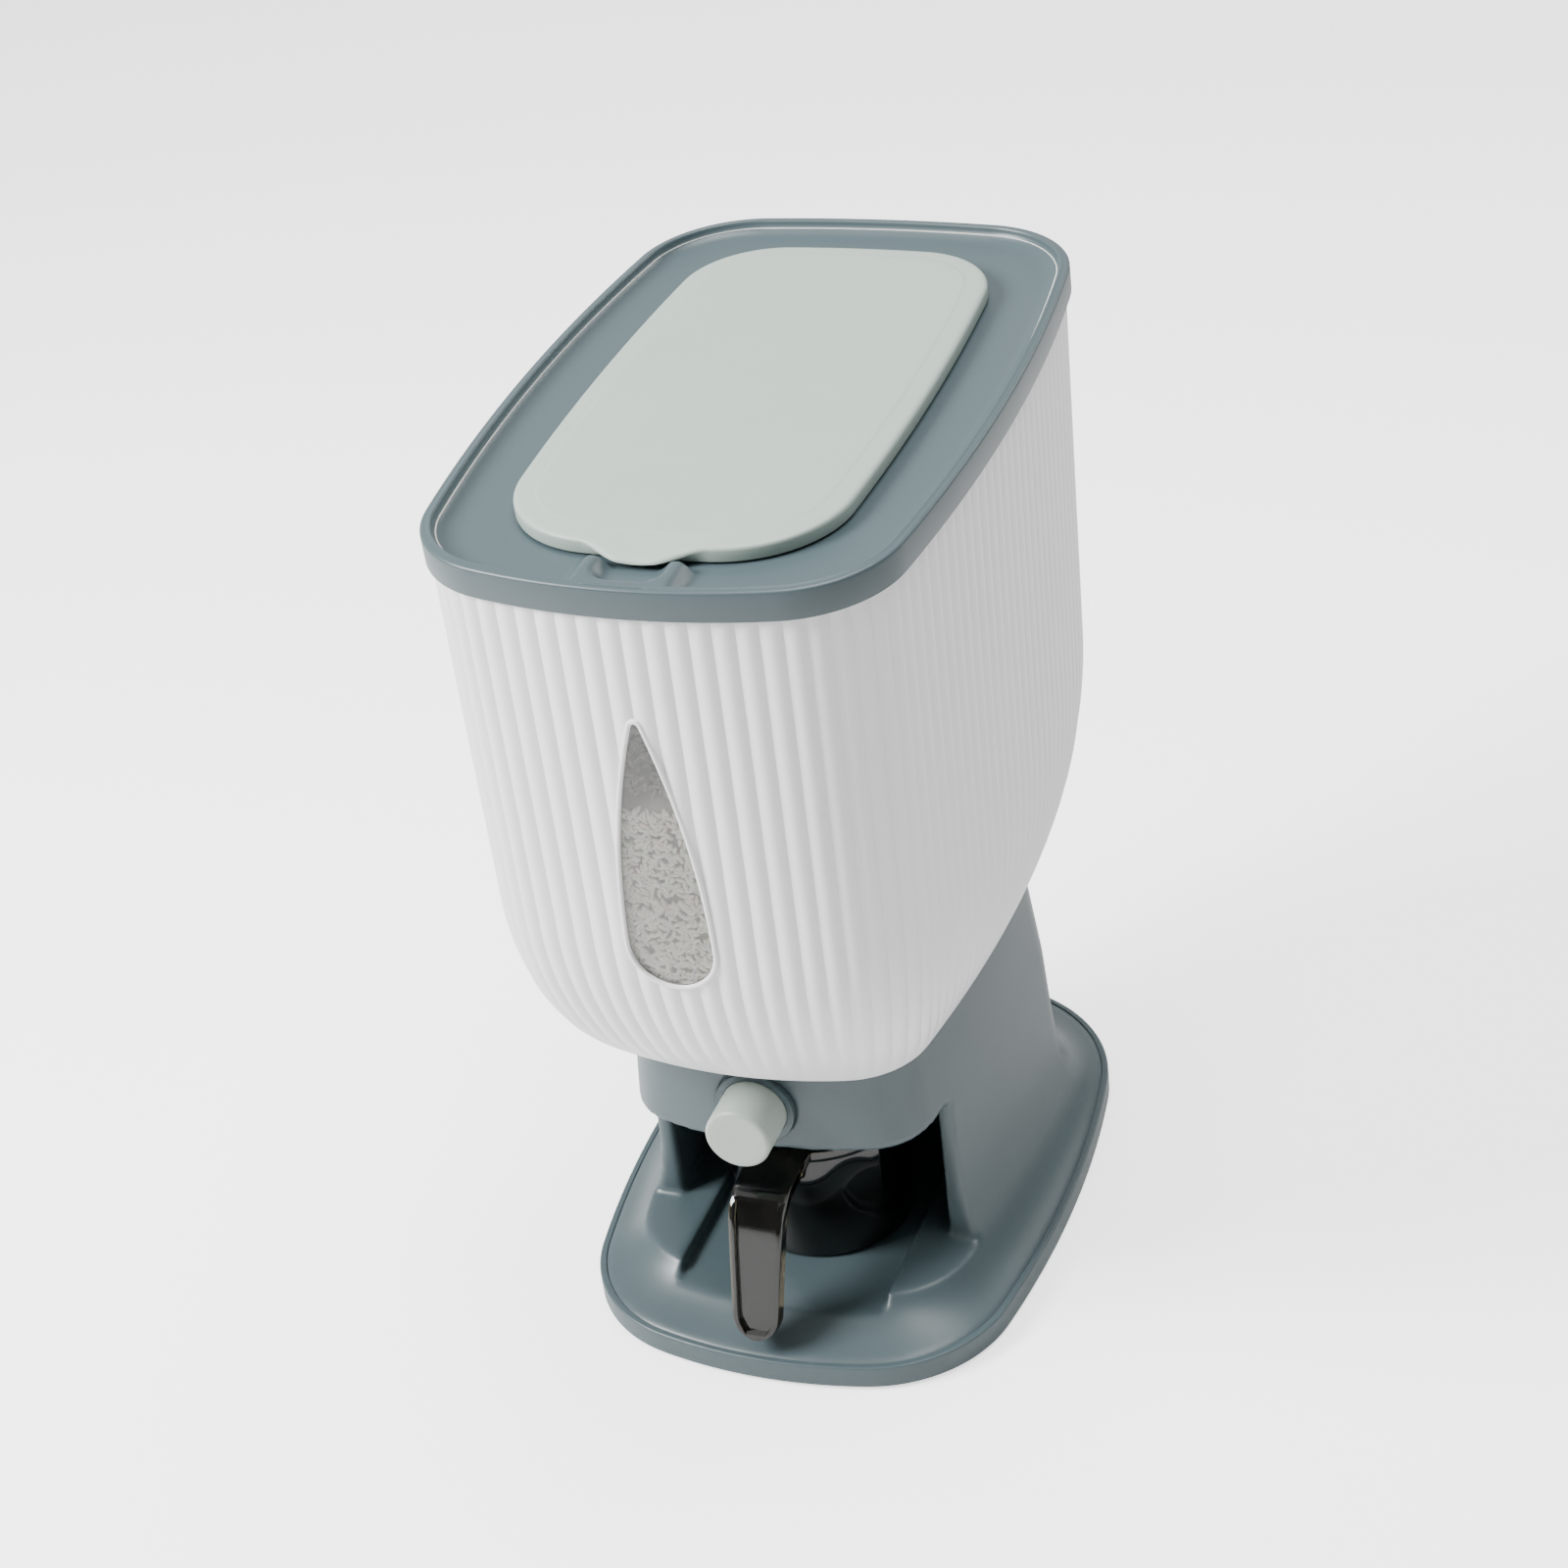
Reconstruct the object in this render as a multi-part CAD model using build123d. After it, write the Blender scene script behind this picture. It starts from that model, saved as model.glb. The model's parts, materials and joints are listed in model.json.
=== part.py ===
from build123d import *
import os
from dataclasses import astuple, dataclass
from math import atan2, degrees, exp, sqrt

# Rice dispenser: a ribbed hopper on a flared stand. A push knob slides a gate under the
# hopper, and the rice falls down a chute into a cup that stands in a bay of the stand.
# Millimetres. Z is up, the front is towards -Y, X = 0 is the plane of symmetry, and the
# origin is on the table under the middle of the lid frame.

# Heights of the stand, from the table up
foot_height = 1.5
rim_height = 12.0
ledge_height = 26.0
channel_floor_height = 20.0
bay_ceiling_height = 100.0
knob_above_ceiling = 21.0
knob_height = bay_ceiling_height + knob_above_ceiling
seat_above_knob = 20.0
seat_height = knob_height + seat_above_knob

# Walls and general clearances
stand_wall = 2.6
hopper_wall = 2.6
fit_clearance = 0.25
seat_gap = 0.3
running_clearance = 0.06
pressed_clearance = 0.02
cut_margin = 1.0
beyond = 400.0

# Flare of the stand between the base rim and the column
flare_height = 10.0
shoulder_width = 1.0
rim_edge_radius = 0.9
waist_height = 96.0

# Cup bay
bay_half_width = 62.0
bay_front_y = -52.0
bay_back_y = 16.0
bay_corner_radius = 18.0
channel_half_width = 47.0
channel_front_y = -108.0

# Base plate, feet and their screws
base_plate_thickness = 2.5
foot_radius = 9.0
foot_recess = 1.0
foot_x = 64.0
foot_front_y = -88.0
foot_back_y = 108.0
base_boss_radius = 5.0
base_boss_x = 34.0
base_boss_front_y = -88.0
base_boss_back_y = 118.0
base_boss_height = 24.0
foot_edge_radius = 0.5
screw_head_play = 0.5
deck_boss_x = 50.0
deck_boss_front_y = -62.0
deck_boss_back_y = 54.0

# Screws: thread radius, head radius and head height
screw_radius = 1.5
screw_head_radius = 3.0
screw_head_height = 2.0
screw_length = 11.0
screw_hole_clearance = 0.2

# Hopper
bulb_height = 237.0
bulb_share = 0.965
hopper_taper_width = 1.6
hopper_floor = 3.0
hopper_step_width = 1.85
funnel_wall = 2.0
funnel_below_bulb = 36.0
funnel_above_seat = 9.0
funnel_mouth_bow = 0.6
funnel_flange = 4.0

# Outlet, gate and chute
outlet_y = -34.0
outlet_half_width = 26.0
outlet_half_length = 7.0
outlet_corner_radius = 3.0
spout_wall = 2.0
outlet_seal_thickness = 2.2
gate_travel = 15.0
gate_thickness = 3.0
gate_half_width = 32.0
gate_front_y = -62.0
gate_back_y = -12.0
gate_side_clearance = 0.3
gate_cover_thickness = 6.0
gate_floor_thickness = 4.0
gate_wall = 4.0
gate_slot_margin = 0.5
gate_post_radius = 4.0
gate_post_inset = 6.0
gate_screw_inset = 10.0
chute_wall = 1.8
chute_flange = 3.0
chute_flange_thickness = 1.6
chute_drop = 14.0

# Push knob, its rod, bezel and return spring
knob_radius = 14.0
knob_front_y = -118.5
knob_length = 21.5
knob_edge = 2.0
knob_boss_back = 1.0
knob_wall = 2.4
knob_boss_radius = 6.5
rod_radius = 4.0
rod_socket_depth = 12.0
bezel_width = 3.0
bezel_thickness = 1.6
bezel_collar = 1.8
bezel_ring_length = 7.6
bezel_collar_length = 23.0
spring_side_gap = 0.6
spring_wire_radius = 0.6
spring_turns = 6

# Measuring cup and its handle
cup_top_radius = 42.0
cup_bottom_radius = 39.5
cup_height = 62.0
cup_wall = 2.0
cup_floor = 2.4
cup_bead = 1.2
cup_bead_height = 5.0
handle_top_width = 25.0
handle_bottom_width = 20.0
handle_depth = 8.0
handle_wall = 2.2
handle_shoulder_radius = 3.0
handle_toe = 4.0
handle_pocket_reach = 6.0
handle_arm_y = -108.0
handle_tip_y = -127.0
handle_top_height = 84.0
handle_bottom_height = 19.0

# Lid frame, measured from the plane of its lip
lip_front_height = 394.5
lip_back_height = 406.0
frame_height = 12.5
frame_skirt = 1.3
lip_width = 5.4
tray_depth = 6.5
tray_plate = 2.4
tray_margin = 4.0
groove_depth = 3.0
frame_seal_thickness = 1.0
collar_inset = 6.5
collar_wall = 2.0
collar_top = 2.6
collar_back_inset = 16.0

# Flip lid
lid_rise = 1.0
lid_height = 6.6
lid_plate = 2.4
lid_wall = 2.2
lid_seal_thickness = 0.9
tab_width = 50.0
tab_reach = 7.5
tab_thickness = 2.6
tab_corner = 7.0
tab_drop = 0.6
lid_edge_radius = 1.4
lip_edge_radius = 1.2
scoop_width = 40.0
scoop_length = 16.0
scoop_corner = 4.0
scoop_depth = 1.5

# Lid hinge, hidden under the lid's back edge
hinge_inset = 3.5
hinge_drop = 3.8
hinge_x = 20.0
hinge_pin_radius = 1.1
hinge_ear_radius = 2.1
hinge_ear_width = 8.0
hinge_side_gap = 0.3
hinge_boss_width = 5.0
hinge_notch_reach = 2.9
hinge_post_half = 1.7
hinge_post_root = 0.3
hinge_boss_root = 0.2
trench_width = 70.0
trench_length = 12.5
trench_shift = 1.75

# Window in the front wall
window_tip_height = 338.2
window_round_height = 238.5
window_radius = 17.0
window_tip_radius = 1.5
window_flank_radius = 330.0
window_bar_back_y = -90.0
window_bar_length = 90.0
window_frame_width = 1.8
window_frame_proud = 0.8
pane_recess = 0.7
pane_thickness = 1.6


@dataclass
class Outline:
    """A rounded plan shape: four corners, four bowed sides and two corner radii."""

    front_half: float
    back_half: float
    front_y: float
    back_y: float
    side_bow: float
    front_bow: float
    back_bow: float
    front_radius: float
    back_radius: float

    def inset(self, amount):
        """The same shape, drawn in by an even amount."""
        return Outline(
            self.front_half - amount,
            self.back_half - amount,
            self.front_y + amount,
            self.back_y - amount,
            self.side_bow,
            self.front_bow,
            self.back_bow,
            self.front_radius - amount,
            self.back_radius - amount,
        )

    def blend(self, other, share):
        """A shape between this one and another, at share 0 to 1."""
        pairs = zip(astuple(self), astuple(other))
        return Outline(*[mine + (theirs - mine) * share for mine, theirs in pairs])

    def face(self, height=0.0):
        """The filled shape, lying level at a height."""
        middle_half = (self.front_half + self.back_half) / 2 + self.side_bow
        middle_y = (self.front_y + self.back_y) / 2
        front_left = (-self.front_half, self.front_y)
        front_right = (self.front_half, self.front_y)
        back_right = (self.back_half, self.back_y)
        back_left = (-self.back_half, self.back_y)
        sides = [
            ThreePointArc(front_left, (0, self.front_y - self.front_bow), front_right),
            ThreePointArc(front_right, (middle_half, middle_y), back_right),
            ThreePointArc(back_right, (0, self.back_y + self.back_bow), back_left),
            ThreePointArc(back_left, (-middle_half, middle_y), front_left),
        ]
        shape = make_face(sides)
        corners = shape.vertices().group_by(Axis.Y)
        shape = fillet(corners[-1], self.back_radius)
        corners = [v for v in shape.vertices() if abs(v.Y - self.front_y) < 0.01]
        shape = fillet(corners, self.front_radius)
        return Pos(0, 0, height) * shape

    def slab(self, low, high):
        """The shape as an upright slab between two heights."""
        return extrude(self.face(low), high - low)


rim = Outline(88.3, 88.3, -138.0, 147.6, 11.4, 16.0, 6.4, 46.0, 47.0)
lid = Outline(62.7, 62.7, -118.8, 119.3, 5.5, 5.2, 4.2, 44.0, 38.0)
base = Outline(86.0, 86.0, -111.5, 139.7, 15.4, 18.3, 7.4, 62.0, 74.0)
neck = Outline(59.0, 73.5, -84.0, 72.5, 5.0, 12.0, 6.0, 30.0, 25.0)
waist = Outline(63.0, 76.5, -84.0, 78.0, 4.0, 12.0, 6.0, 28.0, 22.0)
foot_of_column = Outline(66.0, 81.0, -75.0, 86.5, 5.0, 12.0, 7.0, 30.0, 30.0)

# Where the lofts have their sections, as shares of the way from the rim to the waist and
# from the seat to the top of the rounded part
flare_section_shares = (0.0, 0.024, 0.06, 0.107, 0.179, 0.286, 0.452, 0.714, 1.0)
bulb_section_shares = (0.06, 0.15, 0.29, 0.47, 0.66, 0.84)
hopper_blank_top = lip_back_height + frame_seal_thickness + groove_depth

slant = degrees(atan2(lip_back_height - lip_front_height, 2 * (rim.back_y + rim.back_bow)))
lip_plane = Pos(0, 0, (lip_front_height + lip_back_height) / 2) * Rot(slant, 0, 0)


def column_outline(height):
    """The column's own outline at a height, waisted under the apron."""
    if height >= waist_height:
        return waist.blend(neck, (height - waist_height) / (seat_height - waist_height))
    return waist.blend(foot_of_column, (waist_height - height) / (waist_height - rim_height))


def stand_outline(height):
    """The stand's outline: the column, flaring out to the base in a concave sweep."""
    flare = exp(-(height - rim_height) / flare_height)
    return column_outline(height).blend(base.inset(shoulder_width), flare)


def stand_solid(inset):
    """The stand as a solid above its rim, drawn in by an even amount."""
    heights = [rim_height + share * (waist_height - rim_height) for share in flare_section_shares]
    heights += [(waist_height + seat_height) / 2, seat_height]
    return loft([stand_outline(z).inset(inset).face(z) for z in heights])


def hopper_outline(height):
    """The hopper's outline: nearly upright walls that round in to the neck."""
    top = rim.inset(hopper_step_width)
    if height >= bulb_height:
        drop = (lip_back_height - height) / (lip_back_height - bulb_height)
        return top.inset(hopper_taper_width * drop)
    depth = bulb_share * (bulb_height - height) / (bulb_height - seat_height)
    share = (1 - sqrt(1 - depth**2)) / (1 - sqrt(1 - bulb_share**2))
    return top.inset(hopper_taper_width).blend(neck, share)


def hopper_solid(inset, bottom):
    """The hopper as a solid from a height to above its lip, drawn in by an even amount."""
    heights = [seat_height + share * (bulb_height - seat_height) for share in bulb_section_shares]
    heights = [bottom] + [z for z in heights if z > bottom + cut_margin] + [bulb_height]
    bulb = loft([hopper_outline(z).inset(inset).face(z) for z in heights])
    upright = [hopper_outline(z).inset(inset).face(z) for z in (bulb_height, hopper_blank_top)]
    return bulb + loft(upright, ruled=True)


def rod(radius, length, place, towards="Z"):
    """A round bar from a point along +X, +Y or +Z."""
    turn = {"X": Rot(0, 90, 0), "Y": Rot(-90, 0, 0), "Z": Rot(0, 0, 0)}[towards]
    return Pos(*place) * turn * extrude(Circle(radius), length)


def block(low, high):
    """A box between two corners."""
    size = [b - a for a, b in zip(low, high)]
    centre = [(a + b) / 2 for a, b in zip(low, high)]
    return Pos(*centre) * Box(*size)


def screw(place, pointing_up):
    """A pan-head screw with its head's seat at a point."""
    shank = rod(screw_radius, screw_length, (0, 0, 0))
    head = rod(screw_head_radius, screw_head_height, (0, 0, -screw_head_height))
    recess = rod(screw_radius / 2, screw_head_height / 2, (0, 0, -screw_head_height))
    body = shank + head - recess
    if not pointing_up:
        body = Rot(180, 0, 0) * body
    return Pos(*place) * body


def slot_prism(half_width, half_length, low, high, grow=0.0):
    """A rounded rectangular prism around the outlet."""
    shape = RectangleRounded(2 * (half_width + grow), 2 * (half_length + grow), outlet_corner_radius + grow)
    return Pos(0, outlet_y, low) * extrude(shape, high - low)


def teardrop_prism(grow):
    """The window's drop as a bar through the front wall, grown by an even amount.

    Four arcs that touch each other: the round bottom, two long bowed flanks and the tip.
    """
    tip = window_tip_height - window_tip_radius - window_round_height
    to_round = window_flank_radius - window_radius
    to_tip = window_flank_radius - window_tip_radius
    rise = (to_round**2 - to_tip**2 + tip**2) / (2 * tip)
    reach = sqrt(to_round**2 - rise**2)
    flank = window_flank_radius + grow

    def on_flank(x, height, side):
        """The point of a flank that lies towards a point, seen from that flank's centre."""
        length = sqrt((x + reach) ** 2 + (height - rise) ** 2)
        return side * (flank * (x + reach) / length - reach), rise + flank * (height - rise) / length

    low = [on_flank(0, 0, side) for side in (-1, 1)]
    high = [on_flank(0, tip, side) for side in (-1, 1)]
    middle = [on_flank(0, tip / 2, side) for side in (-1, 1)]
    outline = [
        ThreePointArc(high[1], middle[1], low[1]),
        ThreePointArc(low[1], (0, -window_radius - grow), low[0]),
        ThreePointArc(low[0], middle[0], high[0]),
        ThreePointArc(high[0], (0, tip + window_tip_radius + grow), high[1]),
    ]
    shape = make_face(outline)
    wall = Plane(origin=(0, window_bar_back_y, window_round_height), x_dir=(1, 0, 0), z_dir=(0, -1, 0))
    return extrude(wall * shape, window_bar_length)


# Places worked out from the sizes above
gate_low = knob_height - gate_thickness / 2
gate_high = knob_height + gate_thickness / 2
housing_half = gate_half_width + gate_side_clearance + gate_wall
housing_front_y = gate_front_y - gate_side_clearance - gate_wall
housing_back_y = gate_back_y + gate_travel + gate_side_clearance + gate_wall
housing_bottom = gate_low - gate_side_clearance - gate_floor_thickness
housing_split = gate_high + gate_side_clearance
housing_top = housing_split + gate_cover_thickness
spout_bottom_height = housing_top + outlet_seal_thickness
chute_bottom_height = bay_ceiling_height - chute_drop
funnel_top_height = bulb_height - funnel_below_bulb
funnel_base_height = seat_height + funnel_above_seat
knob_back_y = knob_front_y + knob_length
deck_underside = seat_height - stand_wall
apron_y = neck.front_y - neck.front_bow
collar_outline = lid.inset(collar_inset)
collar_outline.back_y = lid.back_y - collar_back_inset
hinge_y = lid.back_y + lid.back_bow - hinge_inset
lid_top = lid_rise
lid_bottom = lid_rise - lid_height
hinge_z = -hinge_drop
cup_bottom = channel_floor_height
cup_top = cup_bottom + cup_height


def bay_solid(grow):
    """The space of the cup bay, grown by an even amount for its walls."""
    inner = block(
        (-bay_half_width - grow, bay_front_y - beyond, ledge_height - grow),
        (bay_half_width + grow, bay_back_y + grow, bay_ceiling_height + grow),
    )
    inner = fillet(inner.edges().filter_by(Axis.Z).group_by(Axis.Y)[-1], bay_corner_radius + grow)
    channel = block(
        (-channel_half_width - grow, channel_front_y, channel_floor_height - grow),
        (channel_half_width + grow, bay_back_y + grow, ledge_height + grow),
    )
    channel = fillet(channel.edges().filter_by(Axis.Z).group_by(Axis.Y)[-1], bay_corner_radius + grow)
    return inner + channel


def make_stand_shell():
    """The stand: base rim, flared column, apron over the bay and the cup bay's walls."""
    skirt = base.slab(foot_height, rim_height)
    skirt = fillet(skirt.edges().group_by(Axis.Z)[-1], rim_edge_radius)
    outer = skirt + stand_solid(0)
    hollow = base.inset(stand_wall).slab(foot_height, rim_height) + stand_solid(stand_wall)
    hollow -= block((-beyond, -beyond, deck_underside), (beyond, beyond, seat_height + cut_margin))
    front_gap = block((-beyond, -beyond, ledge_height), (beyond, bay_front_y, bay_ceiling_height))
    front_walls = block(
        (-beyond, -beyond, ledge_height - stand_wall),
        (beyond, bay_front_y + stand_wall, bay_ceiling_height + stand_wall),
    )
    hollow = hollow - bay_solid(stand_wall) - front_walls
    for x, y in base_boss_places():
        hollow -= rod(base_boss_radius, base_boss_height, (x, y, foot_height + base_plate_thickness))
    shell = outer - hollow - bay_solid(0) - front_gap
    for x, y in base_boss_places():
        shell -= rod(screw_radius + pressed_clearance, screw_length + stand_wall, (x, y, foot_height))
    # Holes: the spout through the deck, the deck screws, the chute and the knob
    shell -= slot_prism(outlet_half_width, outlet_half_length, deck_underside - cut_margin,
                        seat_height + cut_margin, spout_wall + fit_clearance)
    shell -= slot_prism(outlet_half_width, outlet_half_length, bay_ceiling_height - cut_margin,
                        bay_ceiling_height + stand_wall + cut_margin, chute_wall + fit_clearance)
    for x, y in deck_screw_places():
        shell -= rod(screw_radius + screw_hole_clearance, stand_wall + 2 * cut_margin,
                     (x, y, deck_underside - cut_margin))
    knob_hole = rod(knob_radius + bezel_collar + fit_clearance, bezel_collar_length,
                    (0, apron_y - cut_margin, knob_height), "Y")
    return shell - knob_hole


def deck_screw_places():
    """Where the four screws hold the hopper on the stand's deck."""
    return [(x, y) for x in (-deck_boss_x, deck_boss_x) for y in (deck_boss_front_y, deck_boss_back_y)]


def foot_places():
    """Where the four rubber feet sit."""
    return [(x, y) for x in (-foot_x, foot_x) for y in (foot_front_y, foot_back_y)]


def base_boss_places():
    """Where the four screws hold the base plate."""
    return [(x, y) for x in (-base_boss_x, base_boss_x) for y in (base_boss_front_y, base_boss_back_y)]


def make_base_plate():
    """The flat plate that closes the stand from below."""
    top = foot_height + base_plate_thickness
    plate = base.inset(stand_wall + fit_clearance).slab(foot_height, top)
    for x, y in foot_places():
        plate -= rod(foot_radius + fit_clearance, foot_recess, (x, y, foot_height))
    for x, y in base_boss_places():
        plate -= rod(screw_radius + screw_hole_clearance, base_plate_thickness, (x, y, foot_height))
        plate -= rod(screw_head_radius + fit_clearance, screw_head_height - screw_head_play, (x, y, foot_height))
    return plate


def make_rubber_feet():
    """Four round feet, seated in the base plate's recesses."""
    feet = [rod(foot_radius, foot_height + foot_recess, (x, y, 0)) for x, y in foot_places()]
    return [fillet(foot.edges().group_by(Axis.Z)[0], foot_edge_radius) for foot in feet]


def make_base_screws():
    """Screws from below through the base plate into the stand's posts."""
    seat = foot_height + screw_head_height - screw_head_play
    return [screw((x, y, seat), True) for x, y in base_boss_places()]


def make_hopper_body():
    """The hopper: an open shell with a window, a floor and the outlet through it."""
    shell = hopper_solid(0, seat_height) - hopper_solid(hopper_wall, seat_height + hopper_floor)
    top = -groove_depth - frame_seal_thickness
    shell -= lip_plane * block((-beyond, -beyond, top), (beyond, beyond, top + beyond))
    shell -= slot_prism(outlet_half_width, outlet_half_length, seat_height - cut_margin,
                        seat_height + hopper_floor + cut_margin, spout_wall + fit_clearance)
    for x, y in deck_screw_places():
        shell += rod(base_boss_radius, screw_length, (x, y, seat_height))
        shell -= rod(screw_radius + pressed_clearance, screw_length - cut_margin, (x, y, seat_height))
    return shell - teardrop_prism(window_frame_width)


def wall_slab(outer_inset, inner_inset):
    """The hopper's wall between two depths."""
    return hopper_solid(outer_inset, seat_height) - hopper_solid(inner_inset, seat_height)


def make_window_frame():
    """The thin raised frame pressed into the window's opening."""
    ring = teardrop_prism(window_frame_width - pressed_clearance) - teardrop_prism(0)
    return ring & wall_slab(-window_frame_proud, hopper_wall)


def make_window_pane():
    """The clear pane inside the window's frame."""
    pane = teardrop_prism(-pressed_clearance)
    return pane & wall_slab(pane_recess, pane_recess + pane_thickness)


def make_hopper_funnel():
    """The sloped inner floor that leads the grains to the outlet, with its spout."""
    floor_top = seat_height + hopper_floor
    rim_outline = hopper_outline(funnel_top_height).inset(hopper_wall + seat_gap)
    bow = funnel_mouth_bow
    mouth = Outline(outlet_half_width, outlet_half_width, outlet_y - outlet_half_length,
                    outlet_y + outlet_half_length, bow, bow, bow, outlet_corner_radius, outlet_corner_radius)
    outer_mouth = mouth.inset(-spout_wall)
    outer = loft([outer_mouth.face(funnel_base_height), rim_outline.face(funnel_top_height)], ruled=True)
    inner = loft([mouth.face(funnel_base_height + funnel_wall / 2),
                  rim_outline.inset(funnel_wall).face(funnel_top_height + pressed_clearance)], ruled=True)
    limit = hopper_solid(hopper_wall + seat_gap, floor_top)
    spout = slot_prism(outlet_half_width, outlet_half_length, spout_bottom_height,
                       funnel_base_height + funnel_wall, spout_wall)
    flange = slot_prism(outlet_half_width, outlet_half_length, floor_top,
                        floor_top + funnel_wall, spout_wall + funnel_flange)
    body = (outer & limit) + spout + flange
    return body - inner - slot_prism(outlet_half_width, outlet_half_length, spout_bottom_height - cut_margin,
                                     funnel_base_height + funnel_wall + cut_margin)


def make_hopper_screws():
    """Screws from under the deck up into the hopper's bosses."""
    return [screw((x, y, deck_underside), True) for x, y in deck_screw_places()]


def rod_channel():
    """The round channel that the push rod slides in, as far as the gate takes it."""
    start = housing_front_y - cut_margin
    length = gate_front_y + gate_travel + gate_side_clearance - start
    return rod(rod_radius + running_clearance, length, (0, start, knob_height), "Y")


def make_gate_top():
    """The upper half of the gate housing, under the deck, with the spout's collar."""
    top = block((-housing_half, housing_front_y, housing_split), (housing_half, housing_back_y, housing_top))
    top -= slot_prism(outlet_half_width, outlet_half_length, housing_split - cut_margin, housing_top + cut_margin)
    for x, y in gate_screw_places():
        top -= rod(screw_radius + pressed_clearance, gate_cover_thickness - cut_margin, (x, y, housing_split))
    top -= rod_channel()
    side = housing_half - gate_post_inset
    for x in (-side, side):
        for y in (housing_front_y + gate_post_inset, housing_back_y - gate_post_inset):
            top += rod(gate_post_radius, deck_underside - housing_top, (x, y, housing_top))
    return top


def gate_screw_places():
    """Where the four screws clamp the halves of the gate housing."""
    low = housing_front_y + gate_wall / 2
    high = housing_back_y - gate_wall / 2
    side = housing_half - gate_wall / 2
    return [(x, y) for x in (-side, side) for y in (low + gate_screw_inset, high - gate_screw_inset)]


def make_gate_bottom():
    """The lower half of the gate housing: the tray that the gate slides in."""
    half = gate_half_width + gate_side_clearance
    front = gate_front_y - gate_side_clearance
    back = gate_back_y + gate_travel + gate_side_clearance
    tray = block((-housing_half, housing_front_y, housing_bottom), (housing_half, housing_back_y, housing_split))
    tray -= block((-half, front, gate_low - gate_side_clearance), (half, back, housing_split + cut_margin))
    tray -= slot_prism(outlet_half_width, outlet_half_length, housing_bottom - cut_margin, gate_low)
    tray -= rod_channel()
    for x, y in gate_screw_places():
        tray -= rod(screw_radius + pressed_clearance, housing_split - housing_bottom, (x, y, housing_bottom))
    return tray


def make_gate_screws():
    """Screws from below that clamp the two halves of the gate housing."""
    length = housing_split - housing_bottom + gate_cover_thickness - 2 * cut_margin
    screws = []
    for x, y in gate_screw_places():
        shank = rod(screw_radius, length, (x, y, housing_bottom))
        head = rod(screw_head_radius, screw_head_height, (x, y, housing_bottom - screw_head_height))
        screws.append(shank + head)
    return screws


def make_gate_slide():
    """The flat gate, shut at rest, with a slot that comes under the outlet when pushed."""
    plate = block((-gate_half_width, gate_front_y, gate_low), (gate_half_width, gate_back_y, gate_high))
    slot = slot_prism(outlet_half_width, outlet_half_length - gate_slot_margin, gate_low - cut_margin,
                      gate_high + cut_margin)
    plate -= Pos(0, -gate_travel, 0) * slot
    return plate


def make_push_rod():
    """The round rod between the gate's front edge and the knob."""
    start = knob_front_y + knob_edge + knob_wall + knob_boss_back
    return rod(rod_radius, gate_front_y - start, (0, start, knob_height), "Y")


def make_push_knob():
    """The push knob: a cap with a rounded front edge and a boss for the rod."""
    cap = rod(knob_radius, knob_length, (0, knob_front_y, knob_height), "Y")
    cap = fillet(cap.edges().group_by(Axis.Y)[0], knob_edge)
    hollow = rod(knob_radius - knob_wall, knob_length, (0, knob_front_y + knob_wall + knob_boss_back, knob_height), "Y")
    boss = rod(knob_boss_radius, rod_socket_depth, (0, knob_front_y + knob_wall, knob_height), "Y")
    socket_start = knob_front_y + knob_edge + knob_wall + knob_boss_back - seat_gap
    socket = rod(rod_radius + pressed_clearance, knob_length, (0, socket_start, knob_height), "Y")
    return cap - hollow + boss - socket


def make_knob_bezel():
    """The ring around the knob on the apron, with a collar through the wall."""
    front = (0, apron_y - bezel_thickness, knob_height)
    ring = rod(knob_radius + bezel_width, bezel_ring_length, front, "Y")
    collar = rod(knob_radius + bezel_collar, bezel_collar_length, front, "Y")
    hole = rod(knob_radius + seat_gap, bezel_collar_length, front, "Y")
    return (ring - stand_solid(0)) + collar - hole


def make_return_spring():
    """The coil spring on the rod, between the knob's boss and the gate housing."""
    start = knob_front_y + knob_wall + rod_socket_depth + seat_gap
    end = housing_front_y - seat_gap
    wire = spring_wire_radius
    height = end - start - 2 * wire
    radius = (rod_radius + knob_boss_radius) / 2 + spring_side_gap
    coil = Helix(height / spring_turns, height, radius)
    section = Plane(origin=coil @ 0, z_dir=coil % 0) * Circle(wire)
    tube = sweep(section, path=coil, is_frenet=True)
    return Pos(0, start + wire, knob_height) * Rot(-90, 0, 0) * tube


def make_outlet_seal():
    """The soft frame between the hopper's spout and the gate housing."""
    low = housing_top
    high = spout_bottom_height
    ring = slot_prism(outlet_half_width, outlet_half_length, low, high, spout_wall)
    return ring - slot_prism(outlet_half_width, outlet_half_length, low - cut_margin, high + cut_margin)


def make_outlet_chute():
    """The chute under the gate, down through the bay's ceiling to above the cup."""
    top = housing_bottom
    ceiling = bay_ceiling_height + stand_wall
    tube = slot_prism(outlet_half_width, outlet_half_length, chute_bottom_height, top, chute_wall)
    flange = slot_prism(outlet_half_width, outlet_half_length, ceiling, ceiling + chute_flange_thickness,
                        chute_wall + chute_flange)
    bore = slot_prism(outlet_half_width, outlet_half_length, chute_bottom_height - cut_margin, top + cut_margin)
    return tube + flange - bore


def handle_outline(inset):
    """The handle seen from the side: an arm forward from the rim, then a leaning grip."""
    low = handle_bottom_height + inset
    high = handle_top_height - inset
    points = [
        (outlet_y - cup_top_radius + cup_wall, high),
        (handle_arm_y - inset, high),
        (handle_tip_y + inset, low),
        (handle_tip_y + handle_depth - inset, low),
        (handle_arm_y + handle_depth - inset, high - handle_depth + 2 * inset),
        (outlet_y - cup_top_radius + cup_wall, high - handle_depth + 2 * inset),
    ]
    return points


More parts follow.
